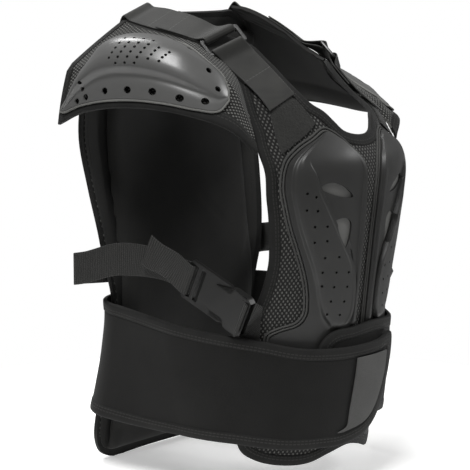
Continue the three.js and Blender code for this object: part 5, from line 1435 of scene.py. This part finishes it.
def makeFemale(side, axes, s):
    # housing, waisted where the prongs show
    half, wall, core = s["width"] / 2, s["wall"] / 2, s["width"] / 2 - s["prong"] - s["fit"]
    start = s["male"] + s["fit"]
    end = start + s["female"]
    shoulder = s["male"] + s["reach"] + s["fit"]
    obj = block(f"buckleFemale_{side}", (-core, start, -wall), (core, shoulder, wall))
    pickFaces(obj, lambda p, n: n.y > 0.9)
    for x, y, spread in ((half, shoulder + 2.5, half / core), (half, end - 6, 1), (half, end, (half - 4) / half)):
        bpy.ops.mesh.extrude_region_move(TRANSFORM_OT_translate={"value": (0, 0, 0)})
        points = [v.co.y * 1000 for v in obj.data.vertices]
        bpy.ops.transform.resize(value=(spread, 1, 1), center_override=(0, 0, 0))
        bpy.ops.object.mode_set(mode="OBJECT")
        for vertex in obj.data.vertices:
            if vertex.select:
                vertex.co.y = y / 1000
        bpy.ops.object.mode_set(mode="EDIT")
    bpy.ops.object.mode_set(mode="OBJECT")
    roundCorners(obj, 2.5, 4, lambda p: p.y > shoulder)
    slotHalf = vest["strapWidth"] / 2 + 1.2
    window = block("slot", (-slotHalf, end - s["bar"] - s["slot"], -8), (slotHalf, end - s["bar"], 8))
    roundCorners(window, 1, 3, lambda p: True)
    cutWith(obj, [window])
    finishHard(obj, 1.2, 4)
    setIn(obj, axes)
    dress(obj, "buckle", "buckle_plastic", f"buckle_female_{side}")


def makeSideStrap(side, sign, axes, s):
    wall, b = vest["strapWall"], buckle
    station = lambda row: webStation(routeSpot(sign, *row[:3]), leanAcross(row[3]))
    turn = math.hypot(b["bar"], b["wall"] * 0.55) / 2 + vest["layerGap"] + wall / 2
    stations = [station(row) for row in s["route"]] + barTurn(axes, 0, turn, 1) + [station(row) for row in s["tail"]]
    left, right = zip(*stations)
    obj = ribbon(f"sideStrap_{side}", left, right, wall, 8)
    dress(obj, "webbing", "webbing", f"side_strap_{side}")
    femaleTurn = math.hypot(b["bar"], b["wall"]) / 2 + vest["layerGap"] + wall / 2

    def sewn(out, down, rise):
        lift = vest["bindingProud"] + vest["layerGap"] + wall / 2 + rise
        middle = frontPlace(sign * out * frontHalf, -down * drop, lift)
        return webStation(middle, frontPlace(sign * (out - 0.08) * frontHalf, -(down - 0.03) * drop, lift) - middle)

    bar = b["male"] + b["fit"] + b["female"] - b["bar"] / 2
    stations = [sewn(0.93, 0.73, 0), sewn(0.93, 0.7, 0), sewn(0.93, 0.66, 0), sewn(0.93, 0.625, 0),
                sewn(0.93, 0.61, 2 * wall)] + barTurn(axes, bar, femaleTurn, -1)
    left, right = zip(*stations)
    anchor = ribbon(f"anchorStrap_{side}", left, right, wall)
    dress(anchor, "webbing", "webbing", f"buckle_anchor_{side}")


for side, sign in sides:
    axes = buckleAxes(sign, sideStrap)
    makeMale(side, axes, buckle)
    makeFemale(side, axes, buckle)
    makeSideStrap(side, sign, axes, sideStrap)
print("side straps made")

# studio

studio = {
    "floor": "#f4f4f3", "glow": 0.4, "radius": 0.62, "backdrop": 1.0, "fill": 0.28,
    "lamps": [  # place, aim, size, watts
        ((-1.5, -0.5, 2.0), (0, 0, -0.2), 1.0, 60),
        ((1.6, -1.7, 1.1), (0, -0.1, -0.25), 0.7, 22),
        ((0.1, 1.5, 1.9), (0, 0, -0.1), 0.9, 36),
    ],
}


def makeStudio(s):
    bpy.ops.object.select_all(action="DESELECT")
    bpy.ops.mesh.primitive_circle_add(vertices=96, radius=s["radius"], fill_type="NGON",
                                      location=(0, 0, cadBox[0][2] - 0.004))
    floor = bpy.context.object
    floor.name = "floor"
    paper = newMaterial("pale studio paper", s["floor"], 0.9, Emission_Color=(1, 1, 1, 1), Emission_Strength=s["glow"])
    floor.data.materials.append(paper[0])  # lit a little from below, as on a light table
    floor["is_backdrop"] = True
    world = bpy.data.worlds.new("studio")
    bpy.context.scene.world = world
    world.use_nodes = True
    seen = addNode(world.node_tree, "ShaderNodeLightPath").outputs["Is Camera Ray"]  # white paper behind, dim room
    strength = addNode(world.node_tree, "ShaderNodeMapRange", {"Value": seen, 3: s["fill"], 4: s["backdrop"]}).outputs[0]
    sky = world.node_tree.nodes["Background"]
    sky.inputs[0].default_value = (1, 1, 1, 1)
    world.node_tree.links.new(strength, sky.inputs[1])
    bpy.context.scene.view_settings.view_transform = "Standard"
    for place, aim, size, watts in s["lamps"]:
        bpy.ops.object.light_add(type="AREA", location=place)
        lamp = bpy.context.object
        lamp.rotation_euler = (Vector(place) - Vector(aim)).to_track_quat("Z", "Y").to_euler()
        lamp.data.size = size
        lamp.data.energy = watts


makeStudio(studio)
bpy.context.view_layer.update()
sceneBox = [list(corner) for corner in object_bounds()]
print("size", [[round(v, 4) for v in corner] for corner in cadBox + sceneBox])
